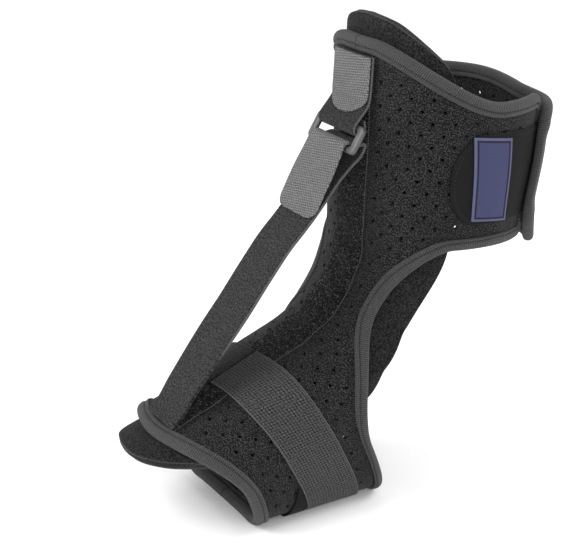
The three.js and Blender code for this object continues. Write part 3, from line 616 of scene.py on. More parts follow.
def inside_cover(s, angle, margin):
    turn = np.abs(angle)
    end = np.where(angle > 0, NEAR_END, FAR_END)
    draw = corner_draw(end, angle)
    slack = margin / CALF_MM_PER_DEGREE
    waist = turn < WAIST_ANGLE - slack / 2
    wing = (turn < end - slack) & (s < wing_edge(angle) - draw - margin)
    upper = (s > top_edge(angle) + draw + margin) & ((waist & (s <= WAIST)) | wing)
    foot = (turn < SOLE_SEAM - 0.6) & (s > foot_edge(angle) + margin)
    lower = (s > WAIST) & (s < toe_edge(angle) - margin) & (waist | foot)
    return upper | lower


def drawn_to_edge(s, angle, margin):
    """The lattice with its first row beyond the calf wing's lower edge drawn up inside it."""
    end = np.where(angle > 0, NEAR_END, FAR_END)
    limit = wing_edge(angle) - corner_draw(end, angle) - margin
    beyond = (np.abs(angle) > HEEL_TOP) & (s > limit) & (s < limit + CELL_LENGTH)
    return np.where(beyond, limit, s)


def cover_lattice():
    """(s, angle, mm across) of a lattice that is even over the surface."""
    s = np.arange(-9, SPINE, CELL_LENGTH)
    half = np.arange(0, 118) * CELL_WIDTH
    turns = np.arange(0, 251, 1.0)
    rows = []
    for place in s:
        sides = []
        for side in (1, -1):
            run = running_length(skin(np.full(len(turns), place), turns * side, COVER), 0)
            sides.append(np.interp(half, run, turns, right=OUTSIDE) * side)
        rows.append(np.concatenate([sides[1][:0:-1], sides[0]]))
    across = np.concatenate([-half[:0:-1], half])
    return s, np.array(rows), across


def hoop(first, second):
    """Quads between two closed lines of points that have the same count."""
    return [[a, b, d, c] for a, b, c, d in
            zip(first, np.roll(first, -1), second, np.roll(second, -1))]


def holed_cells(keep, outer, across):
    """Cells of the lattice that hold a perforation: staggered, clear of the tapes and panel."""
    edge = np.concatenate([skin(*outline.T, COVER / 2) for outline in
                           (wing_outline(1, 2.5), wing_outline(-1, 2.5), toe_outline(2.5))])
    middle = (outer[:-1, :-1] + outer[1:, 1:]) / 2
    holed = np.zeros(keep.shape, bool)
    for i, j in zip(*np.nonzero(keep)):
        row, between_rows = divmod(i, CELLS_DOWN)
        lane = (j - outer.shape[1] // 2 - CELLS_ACROSS // 2 * (row % 2)) % CELLS_ACROSS
        if between_rows or lane or abs(across[j]) <= PANEL_HALF + 1:
            continue
        gap = np.linalg.norm(edge - middle[i, j], axis=1).min()
        sides = [np.linalg.norm(outer[at] - outer[i, j]) for at in ((i, j + 1), (i + 1, j))]
        holed[i, j] = gap > TAPE_WIDTH + HOLE_CLEAR and min(sides) > 2 * HOLE_RIM
    return holed


def punched(square, spot, corners, first, face_side):
    """Points, weave places and faces of a cell of one skin round a dimpled hole, and its loop."""
    u, v = square[1] - square[0], square[3] - square[0]
    spokes = np.array([u / np.linalg.norm(u), v / np.linalg.norm(v)])
    turn = np.radians(np.arange(HOLE_SIDES) * 360 / HOLE_SIDES - 157.5)
    around = np.stack([np.cos(turn), np.sin(turn)], -1)
    into = np.cross(*spokes) * HOLE_DIP * face_side
    points = [square.mean(0) + around @ spokes * HOLE_RIM,
              square.mean(0) + around @ spokes * HOLE_RADIUS + into]
    weave = [spot + around * HOLE_RIM, spot + around * HOLE_RADIUS]
    rim = first + np.arange(HOLE_SIDES)
    loop = rim + HOLE_SIDES
    faces = hoop(rim, loop)
    for k in range(4):
        after = corners[(k + 1) % 4]
        near, far, beyond = rim[2 * k], rim[2 * k + 1], rim[(2 * k + 2) % HOLE_SIDES]
        faces += [[corners[k], after, far, near], [after, beyond, far]]
    return points, weave, faces, loop


def cover():
    s, angle, across = cover_lattice()
    rows, columns = angle.shape
    real = np.abs(angle) < OUTSIDE
    angle = np.where(real, angle, 0)
    s_grid = drawn_to_edge(np.repeat(s[:, None], columns, 1), angle, DRAWN_MARGIN)
    inside = real & inside_cover(s_grid, angle, COVER_MARGIN)
    keep = inside[:-1, :-1] & inside[1:, :-1] & inside[1:, 1:] & inside[:-1, 1:]
    used = np.zeros((rows, columns), bool)
    for di in (0, 1):
        for dj in (0, 1):
            used[di:rows - 1 + di, dj:columns - 1 + dj] |= keep
    total = 2 * int(used.sum())
    number = np.zeros((2, rows, columns), int)
    number[:, used] = np.arange(total).reshape(2, -1)
    skins = [skin(s_grid, angle, off + ripple(s_grid, angle)) for off in (COVER, 0.0)]
    points = [layer[used] for layer in skins]
    weave = [np.stack([np.repeat(across[None], rows, 0), s_grid], -1)[used]] * 2
    holed = holed_cells(keep, skins[0], across)
    faces = []
    for i, j in zip(*np.nonzero(keep)):
        corners = [(i, j), (i, j + 1), (i + 1, j + 1), (i + 1, j)]
        for k, (ni, nj) in enumerate(((i - 1, j), (i, j + 1), (i + 1, j), (i, j - 1))):
            if not (0 <= ni < rows - 1 and 0 <= nj < columns - 1 and keep[ni, nj]):
                a, b = corners[k], corners[(k + 1) % 4]
                faces.append([number[0][a], number[0][b], number[1][b], number[1][a]])
        loops = []
        for layer, face_side in ((0, 1), (1, -1)):
            ends = [number[layer][c] for c in corners]
            if not holed[i, j]:
                faces.append(ends[::face_side])
                continue
            square = np.array([skins[layer][c] for c in corners])
            spot = np.array([across[j] + CELL_WIDTH / 2, s[i] + CELL_LENGTH / 2])
            hole_points, hole_weave, hole_faces, loop = punched(square, spot, ends, total, face_side)
            points += hole_points
            weave += hole_weave
            faces += [face[::face_side] for face in hole_faces]
            loops.append(loop)
            total += 2 * HOLE_SIDES
        if loops:
            faces += hoop(*loops)
    return piece("cover_cloth", loop_cloth(), ["cover"], np.concatenate(points), faces,
                 np.concatenate(weave))


# Edge tape: distance from the edge, and height over the cover's inner face
TAPE_PROFILE = np.array([
    (6.9, 3.32), (6.96, 3.9), (6.7, 4.45), (6.1, 4.8), (5.35, 4.8), (4.65, 4.5), (4.2, 4.0),
    (3.95, 3.72), (3.7, 4.0), (3.3, 4.6), (2.7, 4.98), (1.9, 5.1), (0.8, 5.0), (-0.4, 4.5),
    (-1.3, 3.6), (-1.78, 2.4), (-1.78, 0.8), (-1.3, -0.4), (-0.4, -1.3), (0.8, -1.8),
    (1.9, -1.9), (2.7, -1.78), (3.3, -1.4), (3.7, -0.85), (3.95, -0.6), (4.2, -0.85),
    (4.65, -1.3), (5.35, -1.6), (6.1, -1.6), (6.7, -1.25), (6.96, -0.7), (6.9, -0.12),
    (3.3, -0.1), (-0.4, -0.1), (-0.6, 1.6), (-0.4, 3.3), (3.3, 3.3),
])
GROOVE, GROOVE_HEIGHT = 3.95, 3.8
PINCH, PINCH_ANGLE, PINCH_START, PINCH_END = 1.5, 226.0, 42.0, 100.0


def pinch(s, angle):
    """How far the calf tab pulls the roll at the far wing's end down."""
    return PINCH * ease((-angle - PINCH_ANGLE) / 5) * window(s, PINCH_START, 12, PINCH_END, 12)


def inward_step(outline, inward):
    """What one mm in from an outline, square to it, adds to s and to the angle; and the normal."""
    s, angle = outline.T
    _, normal, along, turn = skin_frame(s, angle)
    ds, da = np.gradient(s) * along, np.gradient(angle) * turn
    size = np.hypot(ds, da) * inward
    return da / size / along, -ds / size / turn, normal


def tape(name, outline, inward, nodes):
    s, angle = outline.T
    step_s, step_a, _ = inward_step(outline, inward)
    x, y = TAPE_PROFILE.T
    squeeze = pinch(s, angle)[:, None] * np.where(y > 3.4, (y - 3.4) / 1.7, 0)
    rings = skin(s[:, None] + step_s[:, None] * x, angle[:, None] + step_a[:, None] * x,
                 y[None] - squeeze)
    run = running_length(skin(s, angle, COVER), 0)
    girth = running_length(TAPE_PROFILE, 0)
    weave = np.stack(np.broadcast_arrays(run[:, None], girth[None]), -1)
    return loft(name, RIBBED, nodes, rings, weave, sharp=80)


def groove_seam(name, outline, inward):
    """Thread that lies in the tape's groove, on the outer face."""
    s, angle = outline.T
    step_s, step_a, normal = inward_step(outline, inward)
    path = skin(s + step_s * GROOVE, angle + step_a * GROOVE, GROOVE_HEIGHT - pinch(s, angle) * 0.3)
    return stitches(name, DARK_THREAD, path, normal, 2.6, 1.9, 0.2)


# Foam liner
LINER_OFF, LINER_SEAM = -TAPE_OUT - 0.9, 2.6
LINER_HALF_ANGLE, LINER_RISE, TONGUE_REACH = 80.0, 24.0, 17.0
LINER_SIDES = np.array([
    (-0.08, 0.86), (0.06, 0.875), (0.37, 0.925), (0.48, 0.775), (0.57, 0.80), (0.62, 0.91),
    (0.70, 0.99), (1.06, 0.99),
])
LINER_TOP = np.array([
    (0.00, -0.62), (0.30, -0.52), (0.58, -0.17), (0.75, 0.15), (0.88, 0.49), (1.00, 1.13),
])
LINER_TONGUE = np.array([
    (-1.00, -1.55), (-0.80, -0.30), (-0.60, 0.55), (-0.30, 0.95), (0.00, 1.00), (0.30, 0.50),
    (0.58, -0.45), (0.80, -1.15), (1.00, -1.55),
])


PUFF_FRAMES = 20


def puff_up(body, limit, pressure):
    """Blow the pad up against its own cloth, and hand back how far each point moved."""
    before = np.array([v.co for v in body.data.vertices])
    cloth = body.modifiers.new("puff", "CLOTH")
    cloth.settings.quality = 6
    cloth.settings.mass = 0.25
    cloth.settings.use_pressure = True
    cloth.settings.uniform_pressure_force = pressure
    cloth.settings.effector_weights.gravity = 0
    cloth.point_cache.frame_start, cloth.point_cache.frame_end = 1, PUFF_FRAMES
    scene = bpy.context.scene
    for number in range(1, PUFF_FRAMES + 1):
        scene.frame_set(number)
        shown = body.evaluated_get(bpy.context.evaluated_depsgraph_get())
    after = np.array([v.co for v in shown.data.vertices])
    body.modifiers.remove(cloth)
    scene.frame_set(1)
    moved = after - before
    size = np.linalg.norm(moved, axis=1, keepdims=True)
    return before, moved * np.minimum(1, limit * MM / np.maximum(size, 1e-9))


def foam_liner():
    rows, columns = 150, 70
    across = spaced(columns, 0.55) * 2 - 1
    share = spaced(rows, 0.45)
    top = -TOP_RISE + LINER_RISE * read_table(LINER_TOP, np.abs(across))
    tip = SPINE + TONGUE_REACH * read_table(LINER_TONGUE, across)
    s = top[None] + (tip - top)[None] * share[:, None]
    angle = across[None] * LINER_HALF_ANGLE * read_table(LINER_SIDES, s / SPINE)
    slack = 0.8
    low, high = LINER_OFF - LINER + slack, LINER_OFF - slack
    outer, inner = pad_points(skin, s, angle, low, high, 4.0, 3.2)
    border = from_border(outer)
    seam = np.exp(-((border - LINER_SEAM) / 0.9) ** 2)
    _, normal, _, _ = skin_frame(s, angle)
    outer += normal * seam[..., None] * 0.55
    weave = np.stack([border, s], -1)
    body = pad("foam_liner_pad", FELT, ["foam_liner"], outer, inner, weave)
    before, moved = puff_up(body, 1.6, 3.0)
    normals = np.concatenate([normal.reshape(-1, 3), normal[1:-1, 1:-1].reshape(-1, 3)])
    out = (moved * normals[:len(moved)]).sum(1, keepdims=True)
    moved = moved - normals[:len(moved)] * np.maximum(out - 0.7 * MM, 0)
    body.data.vertices.foreach_set("co", (before + moved).ravel())
    body.data.update()
    return body


# Pieces that lie on the cover
def on_cloth(s, angle, off):
    return skin(s, angle, off + ripple(s, angle))


def middle_panel():
    grip = TAPE_REACH + 2 * TAPE_GAP
    rows, columns = 330, 40
    side = spaced(columns, 0.4) * 2 - 1
    share = np.linspace(0, 1, rows)
    s_line = top_edge(0) + grip + (toe_edge(0) - top_edge(0) - 2 * grip) * share
    s = np.repeat(s_line[:, None], columns, 1)
    _, _, _, turn = skin_frame(s, np.zeros_like(s))
    wavy = 0.6 * np.sin(s / 1.35) + 0.35 * np.sin(s / 3.1)
    half = PANEL_HALF + np.where(side < 0, wavy, 0.0)
    angle = side[None] * half / turn
    low, high = COVER + GAP, PANEL_FACE
    outer, inner = pad_points(on_cloth, s, angle, low, high, 1.4)
    _, normal, _, _ = skin_frame(s, angle)
    pile = np.random.default_rng(7).uniform(-0.28, 0.12, s.shape)
    outer += normal * (pile * np.clip(from_border(outer) / 1.5, 0, 1))[..., None]
    weave = np.stack([np.broadcast_to(side[None] * PANEL_HALF, s.shape), s], -1)
    return pad("panel_pile", fleece(), ["middle_panel"], outer, inner, weave)


TAB_PLACE, TAB_SLANT, TAB_WIDTH, TAB_TIP, TAB_ROUND = 68.7, 2.0, 56.0, 63.5, 84.0
TAB_ROOT = NEAR_END - (TAPE_REACH + 2 * TAPE_GAP) / CALF_MM_PER_DEGREE
TAB_OFF, TAB_THICK = COVER + GAP, 1.6
PATCH_THICK, PATCH_TURN_WIDTH, PATCH_LENGTH, PATCH_ANGLE = 0.8, 27.0, 52.0, 90.5
PATCH_TURN, PATCH_DROP, PATCH_SEAM = 5.5, 3.5, 2.35
PATCH_WIDTH = PATCH_TURN_WIDTH * CALF_MM_PER_DEGREE


def tab_middle(angle):
    return TAB_PLACE + TAB_SLANT * (angle - TAB_TIP) / (TAB_ROOT - TAB_TIP)


def tab_grid(inset, rows, columns):
    """Grid over the calf tab, inset from its outline."""
    reach = TAB_ROUND - TAB_TIP
    turn = inset / CALF_MM_PER_DEGREE
    tip = TAB_ROUND - (reach - turn) * np.cos(np.linspace(np.radians(6), np.pi / 2, columns // 2))
    angle = np.concatenate([tip, np.linspace(TAB_ROUND, TAB_ROOT, columns - columns // 2 + 1)[1:]])
    lean = np.clip((TAB_ROUND - angle) / (reach - turn), 0, 1)
    half = (TAB_WIDTH / 2 - inset) * arch(lean)
    share = spaced(rows, 0.5) * 2 - 1
    return tab_middle(angle)[None] + half[None] * share[:, None], np.repeat(angle[None], rows, 0)


def calf_tab():
    s, angle = tab_grid(0.0, 40, 56)
    outer, inner = pad_points(skin, s, angle, TAB_OFF, TAB_OFF + TAB_THICK, 0.9)
    weave = np.stack([angle * CALF_MM_PER_DEGREE, s], -1)
    body = pad("calf_tab_cloth", TAB_FINISH, ["calf_tab"], outer, inner, weave)
    s, angle = tab_grid(2.4, 40, 56)
    s, angle = (np.concatenate([grid[0][::-1], grid[-1]]) for grid in (s, angle))
    seam("calf_tab_seam", DARK_THREAD, "tab_cloth", s, angle, TAB_OFF + TAB_THICK + 0.03,
         2.4, 1.7, 0.2)
    return body


def blank_patch():
    low = TAB_OFF + TAB_THICK + GAP
    down, across = np.meshgrid(spaced(46, 0.5) - 0.5, spaced(30, 0.5) - 0.5, indexing="ij")
    place = lambda v, u: (tab_middle(PATCH_ANGLE) + PATCH_LENGTH * v + PATCH_DROP * u,
                          PATCH_ANGLE + PATCH_TURN_WIDTH * u + PATCH_TURN * v)
    s, angle = place(down, across)
    outer, inner = pad_points(skin, s, angle, low - 0.15, low + PATCH_THICK, 0.6)
    weave = np.stack([across * PATCH_WIDTH, down * PATCH_LENGTH], -1)
    body = pad("blank_patch_weave", patch_weave(), ["blank_patch"], outer, inner,
               weave)
    rim = 0.5 - PATCH_SEAM / PATCH_LENGTH
    side = 0.5 - PATCH_SEAM / PATCH_WIDTH
    turn = np.array([(-rim, -side), (-rim, side), (rim, side), (rim, -side), (-rim, -side)])
    line = np.concatenate([turn[k] + (turn[k + 1] - turn[k]) * np.linspace(0, 1, 30)[:, None]
                           for k in range(4)])
    s, angle = place(line[:, 0], line[:, 1])
    seam("blank_patch_seam", DARK_THREAD, "patch_cloth", s, angle, low + PATCH_THICK + 0.04,
         1.7, 1.2, 0.16)
    return body


BAND_WIDTH, BAND_PLACE, BAND_SLANT, BAND_THICK = 34.5, 231.5, 10.0, 1.3
BAND_END, BAND_TAB_ANGLE, BAND_TAB_ROUND = 3.0, 40.0, 28.0
SOLE_TAB_FIRST, SOLE_TAB_FULL = 107.94, 135.73
SOLE_TAB_REACH = 14.0
BAND_CLIMB_END, BAND_CLIMB_RUN, BAND_SLACK = 20.0, 30.0, 0.05


def band_middle(angle):
    return BAND_PLACE - BAND_SLANT * angle / NEAR_END


def band_off(angle):
    climb = 1 - ease((np.abs(angle) - BAND_CLIMB_END) / BAND_CLIMB_RUN)
    return COVER + GAP + BAND_SLACK + (PANEL + GAP) * climb


def band_piece(name, finish, nodes, angle, start, end, rows, thick=BAND_THICK):
    """Piece over the instep between two lines of s, each a function of the angle."""
    share = spaced(rows, 0.4)
    s = start(angle)[None] + (end(angle) - start(angle))[None] * share[:, None]
    turn = np.repeat(angle[None], rows, 0)
    low = band_off(turn)
    outer, inner = pad_points(lambda s, a, off: on_cloth(s, a, off + low), s, turn, 0.0, thick, 0.7)
    run = running_length(skin(s, turn, COVER), 1)
    weave = np.stack([s - band_middle(turn), run], -1)
    return pad(name, finish, nodes, outer, inner, weave)


def instep_band():
    angle = np.linspace(-BAND_END, SOLE_SEAM, 190)
    body = band_piece("instep_band_elastic", grid_elastic(), ["instep_band"], angle,
                      lambda a: band_middle(a) - BAND_WIDTH / 2,
                      lambda a: band_middle(a) + BAND_WIDTH / 2, 40)
    for number, place in enumerate((-0.6, 1.6)):
        s = band_middle(place) + np.linspace(-0.47, 0.47, 60) * BAND_WIDTH
        turn = np.full(60, place)
        seam(f"band_end_seam_{number}", GREY_THREAD, "band_elastic", s, turn,
             band_off(turn) + BAND_THICK + 0.03 + ripple(s, turn), 2.2, 1.6, 0.2)
    return body


def band_tab():
    reach = BAND_TAB_ANGLE - BAND_TAB_ROUND
    tip = -BAND_TAB_ROUND - reach * np.sin(np.linspace(np.radians(84), 0, 18))
    angle = np.concatenate([tip, np.linspace(-BAND_TAB_ROUND, -BAND_END - GAP, 26)[1:]])
    half = lambda a: BAND_WIDTH / 2 * arch(np.clip((-a - BAND_TAB_ROUND) / reach, 0, 1))
    finish = loop_webbing("band_tab_loop", BAND_WIDTH, 0.030)
    return band_piece("band_tab_cloth", finish, ["band_tab"], angle,
                      lambda a: band_middle(a) - half(a), lambda a: band_middle(a) + half(a), 36)


def sole_tab():
    angle = np.linspace(SOLE_TAB_FIRST, SOLE_SEAM, 70)
    front = lambda a: band_middle(a) + BAND_WIDTH / 2 + 0.6
    grow = lambda a: np.clip((a - SOLE_TAB_FIRST) / (SOLE_TAB_FULL - SOLE_TAB_FIRST), 0.02, 1)
    return band_piece("sole_tab_cloth", TAB_FINISH, ["sole_tab"], angle, front,
                      lambda a: front(a) + SOLE_TAB_REACH * grow(a), 22)


# Straps in the middle plane
STRAP_THICK, STRAP_CLEAR, STRAP_WIDTH, STRAP_BASE, SLOT_WIDTH = 2.2, 0.5, 35.0, 31.0, 35.5
HOOK_WIDTH, HOOK_THICK = 40.0, 1.3
RING_STRAP_WIDTH, RING_STRAP_THICK, TOP_TAB_LENGTH, TOP_TAB_WIDTH = 38.0, 1.8, 37.0, 37.0
RING_WIDTH, RING_HEIGHT, RING_BAR, RING_END_BAR, RING_THICK = 49.0, 17.5, 3.6, 5.0, 3.4
RING_TILT, RING_DROP, RING_STAND = 59.5, 47.0, 11.0
RING_CORNER, RING_INNER_CORNER, RING_SQUARENESS = 3.0, 1.8, 4.5
BOW_SHARE, TONGUE_START, HOOK_CORNER = 0.6, 0.58, 8.0
STRAP_RUN = np.array([
    (0.0, 0.0), (0.033, -2.4), (0.12, -2.2), (0.29, -3.0), (0.415, -4.3), (0.54, -4.8),
    (0.65, -5.8), (0.72, -7.8), (0.78, -9.2), (0.85, -10.2), (0.91, -11.0), (0.965, -12.9),
    (1.01, -14.9), (1.045, -13.2),
])
HOOK_RUN = np.array([(0.935, -2.2), (0.86, -4.0), (0.79, -6.0), (0.76, -6.1)])

ring_up = np.array([np.cos(np.radians(RING_TILT)), np.sin(np.radians(RING_TILT))])
ring_out = np.array([-ring_up[1], ring_up[0]])
ring_centre = np.array([-SHIN_REACH - PANEL_FACE - RING_STAND, spine_at(np.array(RING_DROP))[1]])
BAR_MIDDLE = (RING_HEIGHT - RING_BAR) / 2


def from_ring(up, out):
    return ring_centre + up * ring_up + out * ring_out


def bar_turn(up, thickness, start, end, count):
    """Places of a strap's middle round one of the ring's bars."""
    reach = np.hypot(RING_BAR, RING_THICK) / 2 + STRAP_CLEAR + thickness / 2
    turns = np.radians(np.linspace(start, end, count + 1))
    return [from_ring(up + reach * np.cos(turn), reach * np.sin(turn)) for turn in turns]


def smooth_curve(route, spacing=1.0):
    """Even points, with their tangents, on a centripetal curve through a route in the YZ plane."""
    p = np.array(route, float)
    p = np.concatenate([[2 * p[0] - p[1]], p, [2 * p[-1] - p[-2]]])
    line = []
    for k in range(1, len(p) - 2):
        d0, d1, d2 = (np.linalg.norm(p[k + n] - p[k + n - 1]) ** 0.5 for n in (0, 1, 2))
        m1 = (p[k] - p[k - 1]) / d0 - (p[k + 1] - p[k - 1]) / (d0 + d1) + (p[k + 1] - p[k]) / d1
        m2 = (p[k + 1] - p[k]) / d1 - (p[k + 2] - p[k]) / (d1 + d2) + (p[k + 2] - p[k + 1]) / d2
        m1, m2 = m1 * d1, m2 * d1
        t = np.linspace(0, 1, 24, endpoint=k == len(p) - 3)[:, None]
        line.append((2 * t ** 3 - 3 * t ** 2 + 1) * p[k] + (t ** 3 - 2 * t ** 2 + t) * m1
                    + (3 * t ** 2 - 2 * t ** 3) * p[k + 1] + (t ** 3 - t ** 2) * m2)
    line = np.concatenate(line)
    run = running_length(line, 0)
    where = np.linspace(0, run[-1], int(run[-1] / spacing) + 1)
    even = np.stack([np.interp(where, run, line[:, k]) for k in (0, 1)], -1)
    tangent = np.gradient(even, axis=0)
    return even, tangent / np.linalg.norm(tangent, axis=1, keepdims=True), where


def evenly(size):
    """The same size all along a strap."""
    return lambda run: np.full_like(run, size)


def webbing(name, finish, nodes, route, thick_at, half_at, bow_at=evenly(0), off=0.0, end=None):
    """Flat strap; thickness, half width and fall at the sides are functions of its length."""
    line, tangent, run = smooth_curve(route, 0.6)
    if end:
        keep = run <= end
        line, tangent, run = line[keep], tangent[keep], run[keep]
    side = np.concatenate([[-1, -0.985], np.linspace(-0.95, 0.95, 15), [0.985, 1]])
    body = np.clip(arch(side) * 4.5, 0.35, 1)
    half = half_at(run)
    bow, thick = bow_at(run), thick_at(run)
    normal = np.stack([-tangent[:, 1], tangent[:, 0]], -1)
    rings, weave = [], []
    for order, face in ((slice(None), 1), (slice(None, None, -1), -1)):
        a = side[order]
        height = off + face * thick[:, None] / 2 * body[order]
        x = a[None] * half[:, None]
        y = line[:, :1] + normal[:, :1] * height + bow[:, None] * a ** 2
        z = line[:, 1:] + normal[:, 1:] * height
        rings.append(np.stack([x, y, z], -1))
        weave.append(np.stack([x, np.repeat(run[:, None], len(a), 1)], -1))
    return loft(name, finish, nodes, np.concatenate(rings, 1), np.concatenate(weave, 1),
                sharp=60)


def rounded_end(run, total, half, corner):
    """Half width of a strap whose far end has round corners."""
    left = np.clip((total - run) / corner, 0, 1)
    return half - corner * (1 - arch(1 - left))


def fall_back(width):
    """How far the shin falls back at half a strap's width from its middle line."""
    place = np.array(RING_DROP / 2)
    _, _, _, turn = skin_frame(place, np.array(0.0))
    return BOW_SHARE * (on_form(place, width / 2 / turn)[1] - on_form(place, np.array(0.0))[1])


def ring_strap_route():
    start_s = top_edge(RING_STRAP_WIDTH / 2) + TAPE_REACH + TAPE_GAP
    start = float(spine_at(np.array(start_s))[1])
    leave = float(spine_at(np.array(RING_DROP - 20))[1])
    face = -SHIN_REACH - PANEL_FACE - GAP - RING_STRAP_THICK / 2
    turn = bar_turn(BAR_MIDDLE, RING_STRAP_THICK, 80, 275, 7)
    tail = from_ring(BAR_MIDDLE + RING_BAR + RING_STRAP_THICK, -0.4)
    return [(face, start), (face, (start + leave) / 2), (face, leave + 4), (face - 1, leave - 1),
            *turn, tail]


def route_length(route):
    return smooth_curve(route)[2][-1]


def ring_strap():
    route = ring_strap_route()
    total = route_length(route)
    bow = fall_back(RING_STRAP_WIDTH)
    finish = loop_webbing("ring_strap_loop", RING_STRAP_WIDTH / 2, 0.034)
    fall = lambda run: bow * (1 - ease(run / total * 1.8))
    webbing("ring_strap_loop", finish, ["ring_strap"], route,
            evenly(RING_STRAP_THICK), evenly(RING_STRAP_WIDTH / 2), fall)

    def tongue(run):
        into = np.maximum(run / TOP_TAB_LENGTH - TONGUE_START, 0) / (1 - TONGUE_START)
        return TOP_TAB_WIDTH / 2 * np.maximum(arch(np.minimum(into, 1)), 0.2)

    off = -(RING_STRAP_THICK / 2 + 0.3 + HOOK_THICK / 2)
    webbing("top_tab_hook", HOOK, ["top_tab"], route, evenly(HOOK_THICK), tongue, fall,
            off, TOP_TAB_LENGTH)


def strap_points(rows):
    """Places at a share of the line from the strap's root to the ring's lower bar, and out of it."""
    y, z, in_y, in_z = (float(v) for v in spine_at(np.array(SPINE - TAPE_REACH - TAPE_GAP)))
    off = PANEL_FACE + GAP + STRAP_THICK / 2
    root = np.array([y - in_y * off, z - in_z * off])
    line = bar_turn(-BAR_MIDDLE, STRAP_THICK, 90, 90, 1)[0] - root
    out = np.array([-line[1], line[0]]) / np.linalg.norm(line)
    return [root + line * along + out * away for along, away in rows]


def lift_strap():
    route = [*strap_points(STRAP_RUN), *bar_turn(-BAR_MIDDLE, STRAP_THICK, -40, 18, 3)]
    total = route_length(route)

    def half_at(run):
        share = run / total
        wide = STRAP_BASE + (STRAP_WIDTH - STRAP_BASE) * ease(share * 3)
        return (wide + (SLOT_WIDTH - wide) * ease((share - 0.85) * 10)) / 2

    finish = loop_webbing("lift_strap_loop", STRAP_WIDTH / 2, 0.043)
    webbing("lift_strap_loop", finish, ["lift_strap"], route, evenly(STRAP_THICK),
            half_at)
    route = [*bar_turn(-BAR_MIDDLE, STRAP_THICK, 22, 112, 6), *strap_points(HOOK_RUN)]
    total_hook = route_length(route)

    def hook_half(run):
        half = (SLOT_WIDTH + (HOOK_WIDTH - SLOT_WIDTH) * ease(run / total_hook * 2)) / 2
        return rounded_end(run, total_hook, half, HOOK_CORNER)

    webbing("strap_tab_hook", HOOK, ["strap_tab"], route,
            lambda run: np.interp(run, [4, 14], [STRAP_THICK, HOOK_THICK]), hook_half)


def rounded_loop(width, height, corner, count=10):
    x, y = width / 2 - corner, height / 2 - corner
    points = []
    for cx, cy, start in ((x, y, 0), (-x, y, 90), (-x, -y, 180), (x, -y, 270)):
        for turn in np.radians(np.linspace(start, start + 90, count)):
            points.append((cx + corner * np.cos(turn), cy + corner * np.sin(turn)))
    return np.array(points)


def ring():
    outer = rounded_loop(RING_WIDTH, RING_HEIGHT, RING_CORNER)
    inner = rounded_loop(RING_WIDTH - 2 * RING_END_BAR, RING_HEIGHT - 2 * RING_BAR,
                         RING_INNER_CORNER)
    turns = np.linspace(0, 2 * np.pi, 20, endpoint=False)
    cosine, sine = np.cos(turns), np.sin(turns)
    swell = ((np.abs(cosine) ** RING_SQUARENESS + np.abs(sine) ** RING_SQUARENESS)
             ** (-1 / RING_SQUARENESS))
    share = 0.5 + 0.5 * cosine * swell
    height = RING_THICK / 2 * sine * swell
    flat = inner[:, None] + (outer - inner)[:, None] * share[None, :, None]
    x, up = flat[..., 0], flat[..., 1]
    y = ring_centre[0] + up * ring_up[0] + height * ring_out[0]
    z = ring_centre[1] + up * ring_up[1] + height * ring_out[1]
    return loft("ring_moulding", moulded_plastic(), ["ring"],
                np.stack([x, y, z], -1), closed=True, sharp=60)


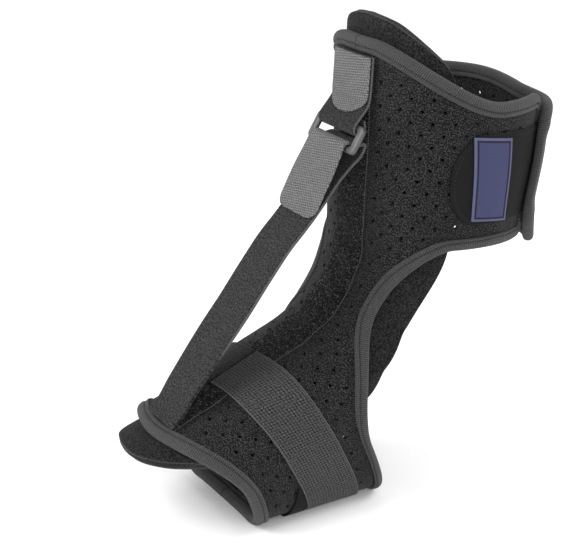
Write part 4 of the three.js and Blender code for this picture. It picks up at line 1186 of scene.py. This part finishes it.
# Floor, light and camera
def studio():
    reach, bend, rise, sides = 2600.0, 700.0, 1100.0, 72
    turn = np.radians(np.linspace(0, 90, 16))
    line = [*[(reach - bend + bend * np.sin(t), bend * (1 - np.cos(t))) for t in turn], (reach, rise)]
    points = np.array([(r * np.cos(a), r * np.sin(a), z) for r, z in line
                       for a in np.linspace(0, 2 * np.pi, sides, endpoint=False)])
    faces = [[i * sides + j, (i + 1) * sides + j, (i + 1) * sides + (j + 1) % sides,
              i * sides + (j + 1) % sides] for i in range(len(line) - 1) for j in range(sides)]
    faces.append(list(range(sides)))
    paper = floor_paper()
    mesh = bpy.data.meshes.new("floor_paper")
    mesh.from_pydata((points * MM).tolist(), [], faces)
    mesh.shade_smooth()
    mesh.materials.append(paper.material)
    body = bpy.data.objects.new("floor_paper", mesh)
    bpy.context.scene.collection.objects.link(body)

    world = bpy.data.worlds.new("studio")
    world.use_nodes = True
    world.node_tree.nodes["Background"].inputs[0].default_value = (1, 1, 1, 1)
    world.node_tree.nodes["Background"].inputs[1].default_value = 0.75
    bpy.context.scene.world = world
    aim = Vector((0, 0, 0.14))
    for name, place, size, power in (
        ("key_light", (-0.35, -1.35, 1.25), 0.9, 26.0),
        ("fill_light", (1.5, -0.6, 0.75), 1.2, 15.0),
        ("back_light", (0.4, 1.3, 1.3), 0.9, 16.0),
    ):
        lamp = bpy.data.lights.new(name, "AREA")
        lamp.size, lamp.energy = size, power
        stand = bpy.data.objects.new(name, lamp)
        stand.location = place
        stand.rotation_euler = (Vector(place) - aim).to_track_quat("Z", "Y").to_euler()
        bpy.context.scene.collection.objects.link(stand)


def camera():
    azimuth, elevation, roll = np.radians([58.0, 21.0, 1.5])
    distance, focal_pixels, photo_width = 900.0, 1500, 581
    target = np.array([0.0, -106.0, 139.0]) + SHIFT
    back = np.array([np.sin(azimuth) * np.cos(elevation), -np.cos(azimuth) * np.cos(elevation),
                     np.sin(elevation)])
    right = np.array([np.cos(azimuth), np.sin(azimuth), 0.0])
    up = np.cross(back, right)
    right, up = (right * np.cos(roll) + up * np.sin(roll), up * np.cos(roll) - right * np.sin(roll))
    view = bpy.data.cameras.new("photo_camera")
    view.sensor_width = 36.0
    view.lens = focal_pixels / photo_width * view.sensor_width
    view.clip_start, view.clip_end = 0.05, 20
    body = bpy.data.objects.new("photo_camera", view)
    place = (target + back * distance) * MM
    body.matrix_world = Matrix([(right[0], up[0], back[0], place[0]),
                                (right[1], up[1], back[1], place[1]),
                                (right[2], up[2], back[2], place[2]), (0, 0, 0, 1)])
    bpy.context.scene.collection.objects.link(body)
    bpy.context.scene.camera = body


RIBBED = ribbed_tape()
FELT = felt()
TAB_FINISH = smooth_tab()
HOOK = hook_tape()
DARK_THREAD = sewing_thread("dark_thread", 0.012)
GREY_THREAD = sewing_thread("grey_thread", 0.055)

camera()
studio()
cover()
foam_liner()
middle_panel()
for name, node, outline, inward in (
    ("near_tape", "near_binding", wing_outline(1, 1.6), 1),
    ("far_tape", "far_binding", wing_outline(-1, 1.6), -1),
    ("toe_tape", "toe_binding", toe_outline(1.6), 1),
):
    tape(name, outline, inward, [node])
    groove_seam(name + "_seam", outline, inward)
calf_tab()
blank_patch()
instep_band()
band_tab()
sole_tab()
ring_strap()
lift_strap()
ring()

bpy.context.scene.view_settings.view_transform = "Standard"
